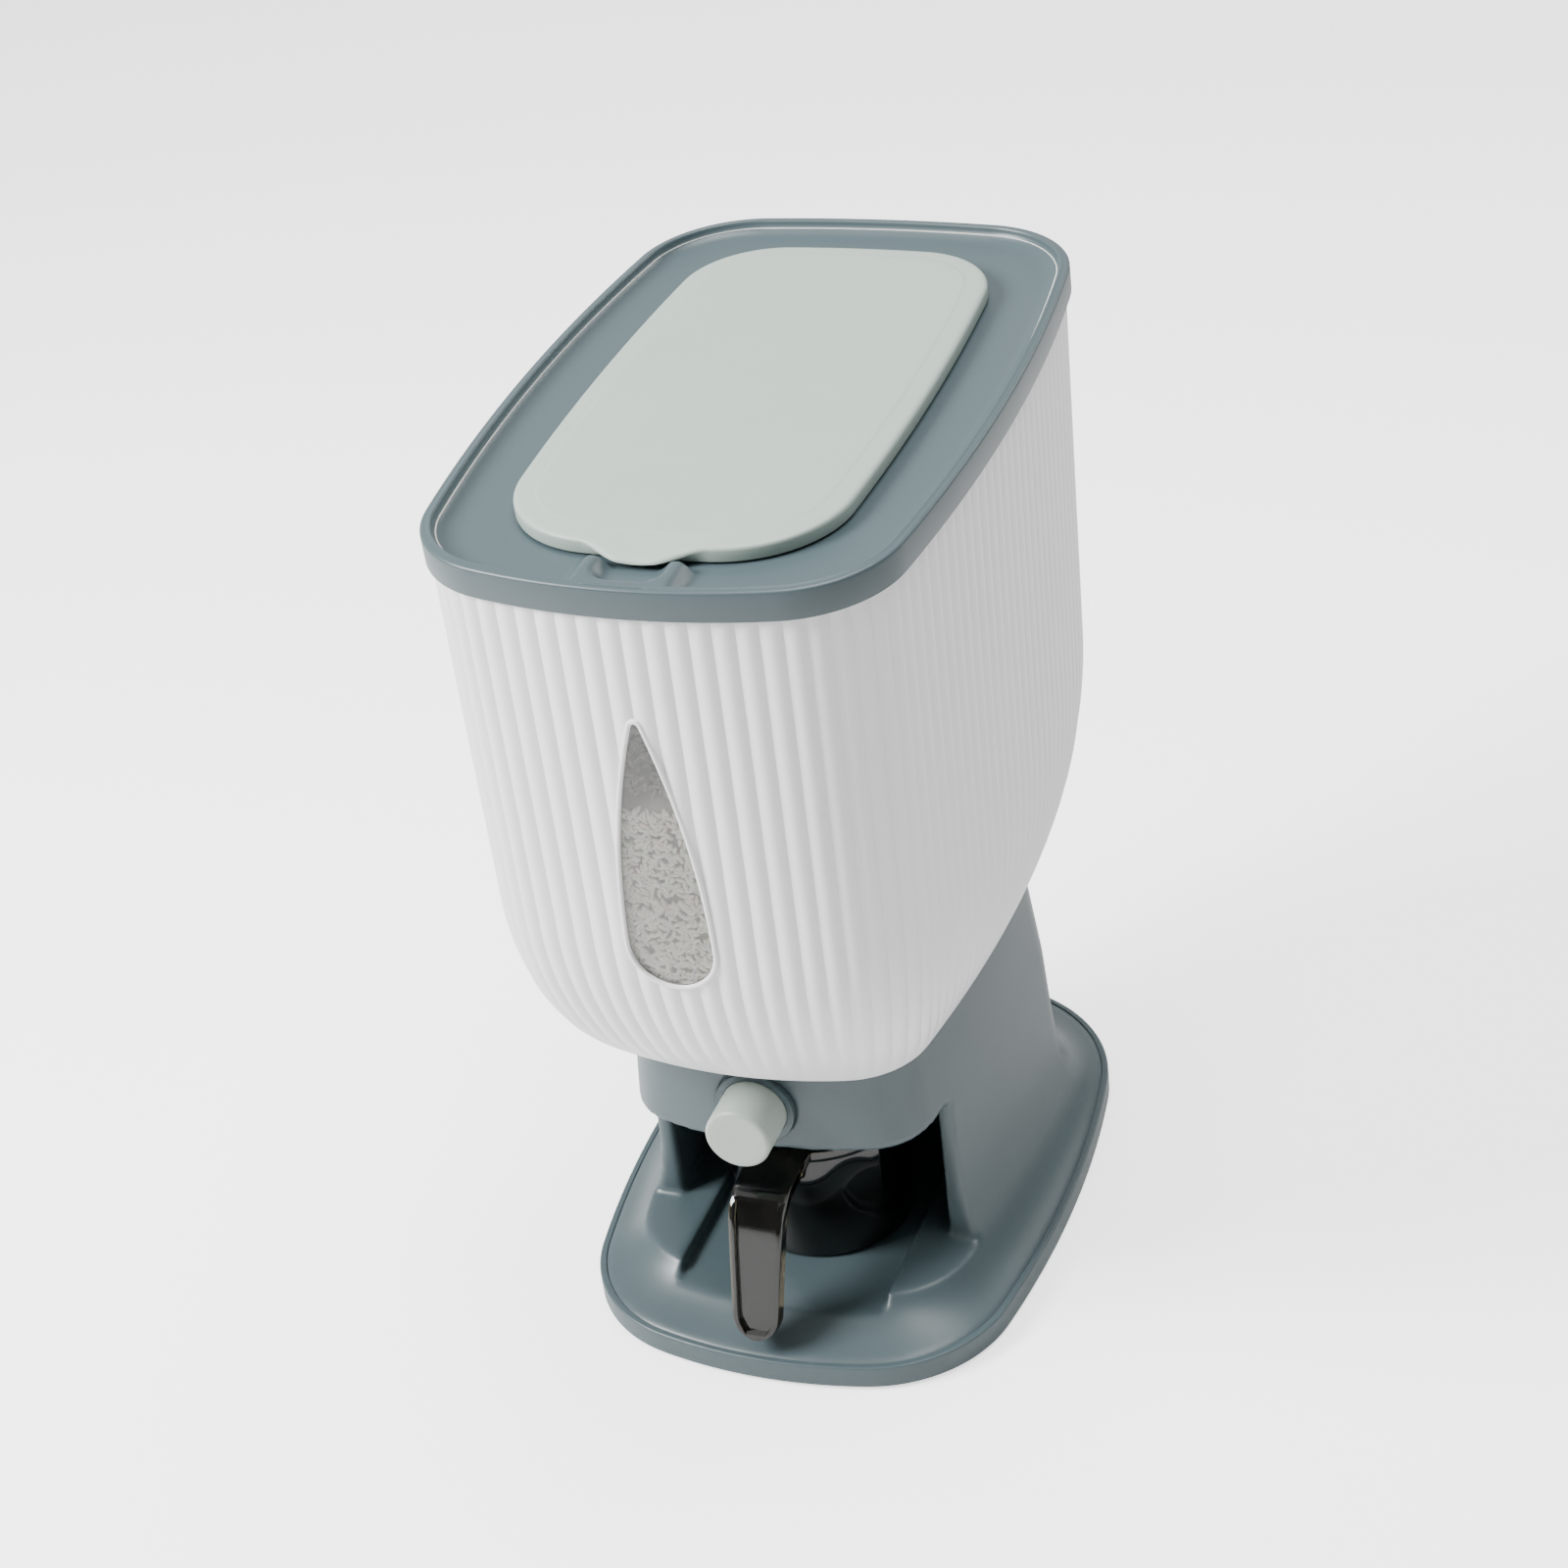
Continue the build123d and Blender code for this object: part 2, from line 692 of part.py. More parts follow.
def make_measuring_cup():
    """The cup with a bead under its rim and a hanging channel handle, in one piece."""
    outer = Pos(0, outlet_y, cup_bottom + cup_height / 2) * Cone(cup_bottom_radius, cup_top_radius, cup_height)
    inner = Pos(0, outlet_y, cup_bottom + cup_floor + cup_height / 2) * Cone(
        cup_bottom_radius - cup_wall, cup_top_radius - cup_wall, cup_height)
    bead = rod(cup_top_radius + cup_bead, cup_bead_height, (0, outlet_y, cup_top - cup_bead_height))
    points = handle_outline(0)
    side = Plane.YZ * make_face(Polyline(*points, close=True))
    grip = extrude(side, handle_top_width / 2, both=True)
    bars = grip.edges().filter_by(Axis.X)
    grip = fillet(bars.group_by(Axis.Y)[0], handle_shoulder_radius)
    shape = make_face(Polyline(
        (-handle_bottom_width / 2, handle_bottom_height),
        (handle_bottom_width / 2, handle_bottom_height),
        (handle_top_width / 2, handle_top_height),
        (-handle_top_width / 2, handle_top_height), close=True))
    low_corners = [v for v in shape.vertices() if v.Y < handle_bottom_height + 1]
    shape = fillet(low_corners, handle_bottom_width / 2 - handle_wall / 2)
    front_view = Plane(origin=(0, handle_tip_y - cut_margin, 0), x_dir=(1, 0, 0), z_dir=(0, -1, 0)) * shape
    grip = grip & extrude(front_view, handle_tip_y - outlet_y)
    toe = handle_bottom_height + handle_wall + handle_toe
    reach = handle_depth + handle_pocket_reach
    pocket_points = [
        (handle_arm_y + handle_wall, handle_top_height - handle_wall),
        (handle_tip_y + handle_wall, toe),
        (handle_tip_y + reach, toe),
        (handle_arm_y + reach, handle_top_height - handle_wall),
    ]
    pocket_side = Plane.YZ * make_face(Polyline(*pocket_points, close=True))
    pocket = extrude(pocket_side, handle_bottom_width / 2 - handle_wall, both=True)
    body = outer + bead + (grip - pocket)
    return body - inner


def make_lid_frame():
    """The frame clipped on the hopper: raised lip, sunken tray and the lid's collar."""
    frame = rim.slab(-frame_height, 0)
    frame = fillet(frame.edges().group_by(Axis.Z)[-1], lip_edge_radius)
    inside = rim.inset(lip_width)
    bottom = -frame_height - cut_margin
    frame -= loft([lid.inset(-tray_margin).face(-tray_depth), inside.face(pressed_clearance)], ruled=True)
    groove = rim.inset(frame_skirt).slab(bottom, -groove_depth)
    frame -= groove - inside.slab(bottom, -groove_depth)
    frame -= inside.slab(bottom, -tray_depth - tray_plate)
    frame += collar_outline.slab(-tray_depth - tray_plate, -collar_top)
    frame -= collar_outline.inset(collar_wall).slab(bottom, cut_margin)
    scoop_y = lid.front_y - lid.front_bow - tab_reach
    frame -= tray_pocket(scoop_y, scoop_width, scoop_length)
    frame -= tray_pocket(hinge_y + trench_shift, trench_width, trench_length)
    half = hinge_ear_width / 2 - hinge_side_gap
    for x in (-hinge_x, hinge_x):
        frame += rod(hinge_ear_radius, 2 * half, (x - half, hinge_y, hinge_z), "X")
        frame += block((x - half, hinge_y - hinge_post_half, -tray_depth - scoop_depth - hinge_post_root),
                       (x + half, hinge_y + hinge_post_half, hinge_z))
        frame -= rod(hinge_pin_radius + pressed_clearance, 2 * half, (x - half, hinge_y, hinge_z), "X")
    return lip_plane * frame


def tray_pocket(y, width, length):
    """A rounded pocket sunk in the tray: the finger scoop, or the room for the lid's back edge."""
    return Pos(0, y, -tray_depth - scoop_depth) * extrude(RectangleRounded(width, length, scoop_corner), tray_depth)


def make_frame_seal():
    """The soft ring between the hopper's top edge and the frame's groove."""
    top = -groove_depth
    ring = rim.inset(hopper_step_width).slab(top - frame_seal_thickness, top)
    ring -= rim.inset(lip_width - fit_clearance).slab(top - 2 * frame_seal_thickness, top + cut_margin)
    return lip_plane * ring


def make_flip_lid():
    """The flip lid: a shallow cap with a thumb tab and two pairs of hinge bosses."""
    cap = lid.slab(lid_bottom, lid_top)
    cap = fillet(cap.edges().group_by(Axis.Z)[-1], lid_edge_radius)
    cap -= lid.inset(lid_wall).slab(lid_bottom - cut_margin, lid_top - lid_plate)
    tab_front = lid.front_y - lid.front_bow - tab_reach
    tab = block((-tab_width / 2, tab_front, lid_top - tab_drop - tab_thickness),
                (tab_width / 2, lid.front_y, lid_top - tab_drop))
    tab = fillet(tab.edges().filter_by(Axis.Z).group_by(Axis.Y)[0], tab_corner)
    cap += tab
    for x in (-hinge_x, hinge_x):
        for side in (-1, 1):
            inner = x + side * hinge_ear_width / 2
            outer = inner + side * hinge_boss_width
            low = min(inner, outer)
            cap += rod(hinge_ear_radius, hinge_boss_width, (low, hinge_y, hinge_z), "X")
            cap += block((low, hinge_y - hinge_ear_radius, hinge_z),
                         (low + hinge_boss_width, hinge_y, lid_top - lid_plate + hinge_boss_root))
        cap -= block((x - hinge_ear_width / 2, hinge_y - hinge_notch_reach, lid_bottom - cut_margin),
                     (x + hinge_ear_width / 2, hinge_y + hinge_inset + cut_margin, lid_top - lid_plate))
        reach = hinge_ear_width / 2 + hinge_boss_width
        cap -= rod(hinge_pin_radius + running_clearance, 2 * reach, (x - reach, hinge_y, hinge_z), "X")
    return lip_plane * cap


def make_lid_seal():
    """The soft ring under the flip lid that closes on the collar."""
    high = lid_top - lid_plate
    ring = collar_outline.slab(high - lid_seal_thickness, high)
    ring -= collar_outline.inset(collar_wall).slab(high - lid_plate, high + cut_margin)
    return lip_plane * ring


def make_hinge_pins():
    """Two short pins on one axis, fixed in the frame's ears."""
    length = hinge_ear_width + 2 * hinge_boss_width
    pins = [rod(hinge_pin_radius, length, (x - length / 2, hinge_y, hinge_z), "X") for x in (-hinge_x, hinge_x)]
    return [lip_plane * pin for pin in pins]


pieces = {
    "stand_shell": make_stand_shell,
    "base_plate": make_base_plate,
    "rubber_feet": make_rubber_feet,
    "base_screws": make_base_screws,
    "hopper_body": make_hopper_body,
    "hopper_funnel": make_hopper_funnel,
    "hopper_screws": make_hopper_screws,
    "window_frame": make_window_frame,
    "window_pane": make_window_pane,
    "lid_frame": make_lid_frame,
    "frame_seal": make_frame_seal,
    "flip_lid": make_flip_lid,
    "lid_seal": make_lid_seal,
    "lid_hinge_pins": make_hinge_pins,
    "gate_housing_top": make_gate_top,
    "gate_housing_bottom": make_gate_bottom,
    "gate_screws": make_gate_screws,
    "gate_slide": make_gate_slide,
    "push_rod": make_push_rod,
    "push_knob": make_push_knob,
    "knob_bezel": make_knob_bezel,
    "return_spring": make_return_spring,
    "outlet_seal": make_outlet_seal,
    "outlet_chute": make_outlet_chute,
    "measuring_cup": make_measuring_cup,
}


def main():
    """Write each piece as its own STEP file."""
    os.makedirs("parts", exist_ok=True)
    for name, make in pieces.items():
        shape = make()
        if isinstance(shape, list):
            shape = Compound(children=shape)
        shape.label = name
        export_step(shape, "parts/" + name + ".step")


if __name__ == "__main__":
    main()
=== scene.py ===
import json
import math

import bmesh
import bpy
import numpy as np
from bpy.props import FloatProperty, FloatVectorProperty, IntProperty, PointerProperty
from mathutils import Matrix, Vector


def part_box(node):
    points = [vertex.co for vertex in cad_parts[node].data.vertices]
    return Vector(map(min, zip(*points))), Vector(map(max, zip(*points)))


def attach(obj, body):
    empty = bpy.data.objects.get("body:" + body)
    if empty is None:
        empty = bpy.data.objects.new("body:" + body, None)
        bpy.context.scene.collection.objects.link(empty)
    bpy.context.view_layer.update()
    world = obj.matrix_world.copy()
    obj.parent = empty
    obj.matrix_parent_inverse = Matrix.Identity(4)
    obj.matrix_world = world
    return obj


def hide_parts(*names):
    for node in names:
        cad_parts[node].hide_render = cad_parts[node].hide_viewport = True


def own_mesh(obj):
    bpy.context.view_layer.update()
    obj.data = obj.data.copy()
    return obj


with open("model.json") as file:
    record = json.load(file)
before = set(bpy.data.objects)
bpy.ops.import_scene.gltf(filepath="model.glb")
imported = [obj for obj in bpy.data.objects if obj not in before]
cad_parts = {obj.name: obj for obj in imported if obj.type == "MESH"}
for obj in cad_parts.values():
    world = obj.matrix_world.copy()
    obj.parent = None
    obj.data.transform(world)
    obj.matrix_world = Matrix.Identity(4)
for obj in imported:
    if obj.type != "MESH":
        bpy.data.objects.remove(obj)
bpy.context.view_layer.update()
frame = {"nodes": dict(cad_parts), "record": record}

bl_info = {
    "name": "Rice dispenser",
    "version": (1, 0, 0),
    "blender": (4, 5, 0),
    "location": "View3D > Sidebar > Dispenser",
    "description": "Dresses the rice dispenser: fluted hopper, lids, stand, cup, knob and rice",
    "category": "Object",
}

MM = 0.001


def linear(hex_colour):
    """An sRGB hex colour as linear red, green and blue."""
    channels = [int(hex_colour[i:i + 2], 16) / 255 for i in (0, 2, 4)]
    return tuple(c / 12.92 if c <= 0.04045 else ((c + 0.055) / 1.055) ** 2.4 for c in channels)


def colour(name, text, hex_colour):
    """A colour setting with an sRGB hex default."""
    return FloatVectorProperty(name=name, description=text, subtype="COLOR", size=3,
                               min=0.0, max=1.0, default=linear(hex_colour))


def length(name, text, millimetres):
    """A length setting, given in millimetres and kept in metres."""
    return FloatProperty(name=name, description=text, default=millimetres * MM,
                         unit="LENGTH", precision=5)


def whole(name, text, default, **limits):
    """A whole number as a setting."""
    return IntProperty(name=name, description=text, default=default, **limits)


class FinishSettings(bpy.types.PropertyGroup):
    """Colours of the dispenser's plastics, rubber, steel and rice."""

    blue_grey: colour("Blue-grey plastic", "Stand, lid frame and bezel", "435155")
    white: colour("White plastic", "Hopper and window frame", "EAEAEA")
    pale_green: colour("Pale lid plastic", "Flip lid", "9BA9A1")
    knob_grey: colour("Knob plastic", "Push knob", "9FA9A1")
    natural: colour("Natural plastic", "Gate, funnel and chute", "DCDCD6")
    smoky: colour("Smoky clear plastic", "Measuring cup", "403D33")
    pane: colour("Clear pane", "Window pane", "F0EEEA")
    silicone: colour("Silicone", "Seals", "D6D6D0")
    rubber: colour("Rubber", "Feet", "1C1C1C")
    steel: colour("Steel", "Screws, pins and spring", "B4B4B2")
    rice: colour("Rice", "Polished rice grains", "F4F1E8")
    floor: colour("Floor", "Pale floor", "F6F6F6")


class HopperSettings(bpy.types.PropertyGroup):
    """Sizes of the hopper and its window."""

    flutes: whole("Flutes", "Flutes round the hopper", 104, min=8, max=400)
    flute_depth: length("Flute depth", "Depth of the grooves between the flutes", 1.3)
    fade_low: length("Fade low", "Height where the flutes have run out", 152)
    fade_high: length("Fade high", "Height where the flutes are full", 188)
    wall: length("Wall", "Thickness of the hopper's wall", 2.6)
    window_border: length("Window border", "Width of the window's raised frame", 1.8)
    window_proud: length("Window proud", "How far the window's frame stands out", 0.75)


class LidSettings(bpy.types.PropertyGroup):
    """Sizes of the lid frame and the flip lid."""

    lip_width: length("Lip width", "Width of the frame's raised lip", 4.4)
    frame_height: length("Frame height", "Height of the frame's skirt", 12.5)
    tray_depth: length("Tray depth", "Depth of the tray at the flip lid", 6.5)
    tab_width: length("Tab width", "Width of the thumb tab", 50)
    tab_reach: length("Tab reach", "How far the thumb tab stands out", 7.5)
    scoop_width: length("Scoop width", "Width of the finger scoop in front of the tab", 31)


class StandSettings(bpy.types.PropertyGroup):
    """Sizes of the stand's mesh."""

    voxel: length("Voxel", "Grid of the remesh that rounds the stand's edges", 1.68)
    ledge: length("Ledge", "Width of the ledge between the base's rim and the flare", 2.6)
    rounding: whole("Rounding", "Smoothing steps after the remesh", 4, min=0, max=20)


class CupSettings(bpy.types.PropertyGroup):
    """Sizes of the measuring cup's handle."""

    handle_rail: length("Handle rail", "Width of the rails along the handle", 3.2)
    handle_hollow: length("Handle hollow", "Depth of the handle's front channel", 2.6)


class RiceSettings(bpy.types.PropertyGroup):
    """The rice in the hopper."""

    level: length("Level", "Height of the rice at the window", 300)
    grain_length: length("Grain length", "Length of a grain", 5.0)
    grain_width: length("Grain width", "Width of a grain", 1.9)
    heap_grains: whole("Heap grains", "Grains per square metre on the heap", 120000)
    pane_grains: whole("Pane grains", "Grains per square metre at the pane", 250000)
    seed: whole("Seed", "Seed of the grains' places", 7)


class Outline:
    """A rounded plan shape in millimetres: four corners, four bowed sides and two corner radii."""

    fields = ("front_half", "back_half", "front_y", "back_y", "side_bow", "front_bow", "back_bow",
              "front_radius", "back_radius")
    side_steps, front_steps = 90, 60

    def __init__(self, *values):
        for name, value in zip(self.fields, values):
            setattr(self, name, value)

    def values(self):
        return [getattr(self, name) for name in self.fields]

    def inset(self, amount):
        """The same shape, drawn in by an even amount."""
        step = (-amount, -amount, amount, -amount, 0, 0, 0, -amount, -amount)
        return Outline(*[value + change for value, change in zip(self.values(), step)])

    def blend(self, other, share):
        """A shape between this one and another."""
        return Outline(*[a + (b - a) * share for a, b in zip(self.values(), other.values())])

    def front_circle(self):
        """Centre height along Y and radius of the bowed front side."""
        radius = (self.front_half**2 + self.front_bow**2) / (2 * self.front_bow)
        return self.front_y - self.front_bow + radius, radius

    def points(self, count):
        """Points evenly spaced round the shape, anticlockwise from the middle of the front."""
        middle = (0.5 * (self.front_half + self.back_half) + self.side_bow,
                  0.5 * (self.front_y + self.back_y))
        front = (0.0, self.front_y - self.front_bow)
        back = (0.0, self.back_y + self.back_bow)
        low = (self.front_half, self.front_y)
        high = (self.back_half, self.back_y)
        sides = [circle_through((-low[0], low[1]), front, low), circle_through(low, middle, high),
                 circle_through(high, back, (-high[0], high[1]))]
        corner_low = corner_arc(sides[0], sides[1], low, self.front_radius)
        corner_high = corner_arc(sides[1], sides[2], high, self.back_radius)
        half = np.vstack([
            arc_between(sides[0], front, corner_low[0], self.front_steps), corner_low,
            arc_between(sides[1], corner_low[-1], corner_high[0], self.side_steps), corner_high,
            arc_between(sides[2], corner_high[-1], back, self.front_steps),
        ])
        mirrored = half[::-1] * (-1, 1)
        path = np.vstack([half, mirrored])
        steps = np.linalg.norm(np.diff(path, axis=0), axis=1)
        keep = np.concatenate([[True], steps > 1e-9])
        path = path[keep]
        steps = np.linalg.norm(np.diff(path, axis=0), axis=1)
        run = np.concatenate([[0.0], np.cumsum(steps)])
        at = np.linspace(0.0, run[-1], count, endpoint=False)
        return np.column_stack([np.interp(at, run, path[:, 0]), np.interp(at, run, path[:, 1])])


def circle_through(a, b, c):
    """Centre and radius of the circle through three points."""
    (ax, ay), (bx, by), (cx, cy) = a, b, c
    d = 2 * (ax * (by - cy) + bx * (cy - ay) + cx * (ay - by))
    a2, b2, c2 = ax * ax + ay * ay, bx * bx + by * by, cx * cx + cy * cy
    centre = np.array([(a2 * (by - cy) + b2 * (cy - ay) + c2 * (ay - by)) / d,
                       (a2 * (cx - bx) + b2 * (ax - cx) + c2 * (bx - ax)) / d])
    return centre, float(np.linalg.norm(centre - a))


def arc_between(circle, start, end, count):
    """Points along a circle from one point to another, the short way."""
    centre, radius = circle
    first = math.atan2(start[1] - centre[1], start[0] - centre[0])
    last = math.atan2(end[1] - centre[1], end[0] - centre[0])
    sweep = (last - first + math.pi) % (2 * math.pi) - math.pi
    angles = first + sweep * np.linspace(0, 1, count)
    return np.column_stack([centre[0] + radius * np.cos(angles), centre[1] + radius * np.sin(angles)])


def corner_arc(side_a, side_b, corner, radius):
    """Points along the arc that rounds the corner between two bowed sides."""
    (ca, ra), (cb, rb) = side_a, side_b
    da, db = ra - radius, rb - radius
    gap = cb - ca
    apart = float(np.linalg.norm(gap))
    along = (da * da - db * db + apart * apart) / (2 * apart)
    across = math.sqrt(max(da * da - along * along, 0.0))
    unit = gap / apart
    normal = np.array([-unit[1], unit[0]])
    options = [ca + unit * along + normal * across * sign for sign in (1, -1)]
    centre = min(options, key=lambda p: np.linalg.norm(p - np.array(corner)))
    start = ca + (centre - ca) * ra / da
    end = cb + (centre - cb) * rb / db
    corner_steps = 40
    return arc_between((centre, radius), start, end, corner_steps)


# Plan shapes, in millimetres, as the solids have them
RIM = Outline(88.3, 88.3, -138.0, 147.6, 11.4, 16.0, 6.4, 46.0, 47.0)
LID = Outline(62.7, 62.7, -118.8, 119.3, 5.5, 5.2, 4.2, 44.0, 38.0)
BASE = Outline(86.0, 86.0, -111.5, 139.7, 15.4, 18.3, 7.4, 62.0, 74.0)
NECK = Outline(59.0, 73.5, -84.0, 72.5, 5.0, 12.0, 6.0, 30.0, 25.0)
WAIST = Outline(63.0, 76.5, -84.0, 78.0, 4.0, 12.0, 6.0, 28.0, 22.0)
COLUMN_FOOT = Outline(66.0, 81.0, -75.0, 86.5, 5.0, 12.0, 7.0, 30.0, 30.0)
COLLAR = Outline(56.2, 56.2, -112.3, 103.3, 5.5, 5.2, 4.2, 37.5, 31.5)

# Heights, places and shares, in millimetres where they are lengths, as the solids have them
LIP_FRONT, LIP_BACK = 394.5, 406.0
RIM_HEIGHT, LEDGE, CHANNEL_FLOOR, CEILING, SEAT = 12.0, 26.0, 20.0, 100.0, 141.0
WAIST_HEIGHT, BULB, FLARE = 96.0, 237.0, 10.0
BULB_SHARE, TAPER, HOPPER_STEP = 0.965, 1.6, 1.85
BAY_HALF, BAY_FRONT, BAY_BACK, BAY_CORNER = 62.0, -52.0, 16.0, 18.0
CHANNEL_HALF, CHANNEL_FRONT = 47.0, -108.0
OUTLET_Y, OUTLET_HALF, OUTLET_HALF_LENGTH = -34.0, 26.0, 7.0
KNOB_Z, KNOB_RADIUS, KNOB_FRONT, KNOB_BACK = 121.0, 14.0, -118.5, -97.0
WINDOW_TIP, WINDOW_ROUND, WINDOW_RADIUS = 338.2, 238.5, 17.0
WINDOW_TIP_RADIUS, WINDOW_FLANK = 1.5, 330.0
HINGE_Y, HINGE_Z, HINGE_X = 120.0, -3.8, 20.0
HINGE_RADIUS, TRENCH_DEPTH, TRENCH_SHIFT = 2.1, 1.5, 1.75
CUP_BOTTOM, CUP_TOP = 20.0, 82.0
SLANT = math.atan2(LIP_BACK - LIP_FRONT, 2 * (RIM.back_y + RIM.back_bow))
LIP_MIDDLE = 0.5 * (LIP_FRONT + LIP_BACK)


def on_lip_plane(points):
    """Points given from the lip's plane, turned and raised to their place, in millimetres."""
    x, y, z = points[:, 0], points[:, 1], points[:, 2]
    return np.column_stack([x, y * math.cos(SLANT) - z * math.sin(SLANT),
                            LIP_MIDDLE + y * math.sin(SLANT) + z * math.cos(SLANT)])


def lip_height(y, below):
    """Height of a plane below the lip's, at a place along Y."""
    return LIP_MIDDLE + y * math.tan(SLANT) - below / math.cos(SLANT)


def hopper_outline(height):
    """The hopper's outline at a height."""
    top = RIM.inset(HOPPER_STEP)
    if height >= BULB:
        return top.inset(TAPER * (LIP_BACK - height) / (LIP_BACK - BULB))
    depth = BULB_SHARE * (BULB - height) / (BULB - SEAT)
    share = (1 - math.sqrt(1 - depth**2)) / (1 - math.sqrt(1 - BULB_SHARE**2))
    return top.inset(TAPER).blend(NECK, share)


def column_outline(height):
    """The stand's column at a height, without its flare."""
    if height >= WAIST_HEIGHT:
        return WAIST.blend(NECK, (height - WAIST_HEIGHT) / (SEAT - WAIST_HEIGHT))
    return WAIST.blend(COLUMN_FOOT, (WAIST_HEIGHT - height) / (WAIST_HEIGHT - RIM_HEIGHT))


def stand_outline(height, ledge):
    """The stand at a height: the column, flaring out to a narrow ledge on the base."""
    flare = math.exp(-(height - RIM_HEIGHT) / FLARE)
    return column_outline(height).blend(BASE.inset(ledge), flare)


def front_wall_y(x, z, inset=0.0):
    """Y of the hopper's front wall at a place across and up."""
    centre, radius = hopper_outline(z).inset(inset).front_circle()
    return centre - math.sqrt(radius**2 - x**2)


def level_ring(outline, height, count):
    """A ring of points round an outline, level at a height."""
    flat = outline.points(count)
    return np.column_stack([flat, np.full(count, float(height))])


def new_object(name, mesh):
    """A new object in the scene that holds a mesh."""
    piece = bpy.data.objects.new(name, mesh)
    bpy.context.scene.collection.objects.link(piece)
    return piece


def mesh_from(name, points, faces):
    """An object from points in millimetres and faces, with its normals made to point outwards."""
    mesh = bpy.data.meshes.new(name)
    mesh.from_pydata((np.asarray(points) * MM).tolist(), [], faces)
    mesh.update()
    face_outwards(mesh)
    return new_object(name, mesh)


def face_outwards(mesh):
    """Makes every face of a closed mesh point outwards."""
    work = bmesh.new()
    work.from_mesh(mesh)
    bmesh.ops.recalc_face_normals(work, faces=work.faces)
    work.to_mesh(mesh)
    work.free()


def stitched(rings, round_the_profile=False, capped=True):
    """Points and faces of rings joined into a skin, capped at both ends or closed on itself."""
    count = len(rings[0])
    points = np.vstack(rings)
    faces = []
    last = len(rings) if round_the_profile else len(rings) - 1
    for k in range(last):
        low, high = k * count, ((k + 1) % len(rings)) * count
        for i in range(count):
            j = (i + 1) % count
            faces.append((low + i, low + j, high + j, high + i))
    if capped and not round_the_profile:
        faces.append(tuple(range(count))[::-1])
        faces.append(tuple(range((len(rings) - 1) * count, len(rings) * count)))
    return points, faces


def shade_smooth(piece, angle):
    """Smooth shading with edges sharper than an angle kept crisp."""
    mesh = piece.data
    mesh.shade_smooth()
    work = bmesh.new()
    work.from_mesh(mesh)
    for edge in work.edges:
        edge.smooth = edge.calc_face_angle(0.0) < math.radians(angle)
    work.to_mesh(mesh)
    work.free()


def bake_modifiers(piece):
    """Turns a piece with modifiers into a plain mesh."""
    graph = bpy.context.evaluated_depsgraph_get()
    mesh = bpy.data.meshes.new_from_object(piece.evaluated_get(graph))
    piece.modifiers.clear()
    piece.data = mesh
    return piece


def cut(piece, tools):
    """Takes each closed tool away from a piece and deletes the tools."""
    for tool in tools:
        change = piece.modifiers.new("Cut", "BOOLEAN")
        change.operation = "DIFFERENCE"
        change.solver = "EXACT"
        change.object = tool
    bake_modifiers(piece)
    for tool in tools:
        bpy.data.objects.remove(tool)


def joined(name, parts):
    """One object from several, with the others deleted."""
    work = bmesh.new()
    for part in parts:
        work.from_mesh(part.data)
    mesh = bpy.data.meshes.new(name)
    work.to_mesh(mesh)
    work.free()
    for part in parts:
        bpy.data.objects.remove(part)
    return new_object(name, mesh)


def box_piece(name, low, high):
    """A closed box between two corners, in millimetres."""
    (x0, y0, z0), (x1, y1, z1) = low, high
    points = [(x, y, z) for z in (z0, z1) for y in (y0, y1) for x in (x0, x1)]
    faces = [(0, 2, 3, 1), (4, 5, 7, 6), (0, 1, 5, 4), (2, 6, 7, 3), (0, 4, 6, 2), (1, 3, 7, 5)]
    return mesh_from(name, points, faces)


def prism(name, outline, direction, start, end):
    """A flat outline pushed along an axis: along Y for (x, z) points, along Z for (x, y) points."""
    flat = np.asarray(outline)
    rings = []
    for place in (start, end):
        level = np.full(len(flat), float(place))
        columns = [flat[:, 0], flat[:, 1]]
        columns.insert(1 if direction == "Y" else 2, level)
        rings.append(np.column_stack(columns))
    return mesh_from(name, *stitched(rings))


def turned(name, profile, centre, axis):
    """A closed solid of revolution. The profile is (radius, along) pairs from axis to axis."""
    count = 128
    rings = []
    angles = np.linspace(0, 2 * math.pi, count, endpoint=False)
    for radius, along in profile:
        across, up = radius * np.cos(angles), radius * np.sin(angles)
        level = np.full(count, float(along))
        columns = [across, level, up] if axis == "Y" else [across, up, level]
        rings.append(np.column_stack(columns) + np.array(centre))
    body = rings[1:-1]
    points, faces = stitched(body, capped=False)
    points = np.vstack([points, rings[0][:1], rings[-1][:1]])
    first, last = len(points) - 2, len(points) - 1
    top = (len(body) - 1) * count
    for i in range(count):
        j = (i + 1) % count
        faces.append((first, j, i))
        faces.append((last, top + i, top + j))
    return mesh_from(name, points, faces)


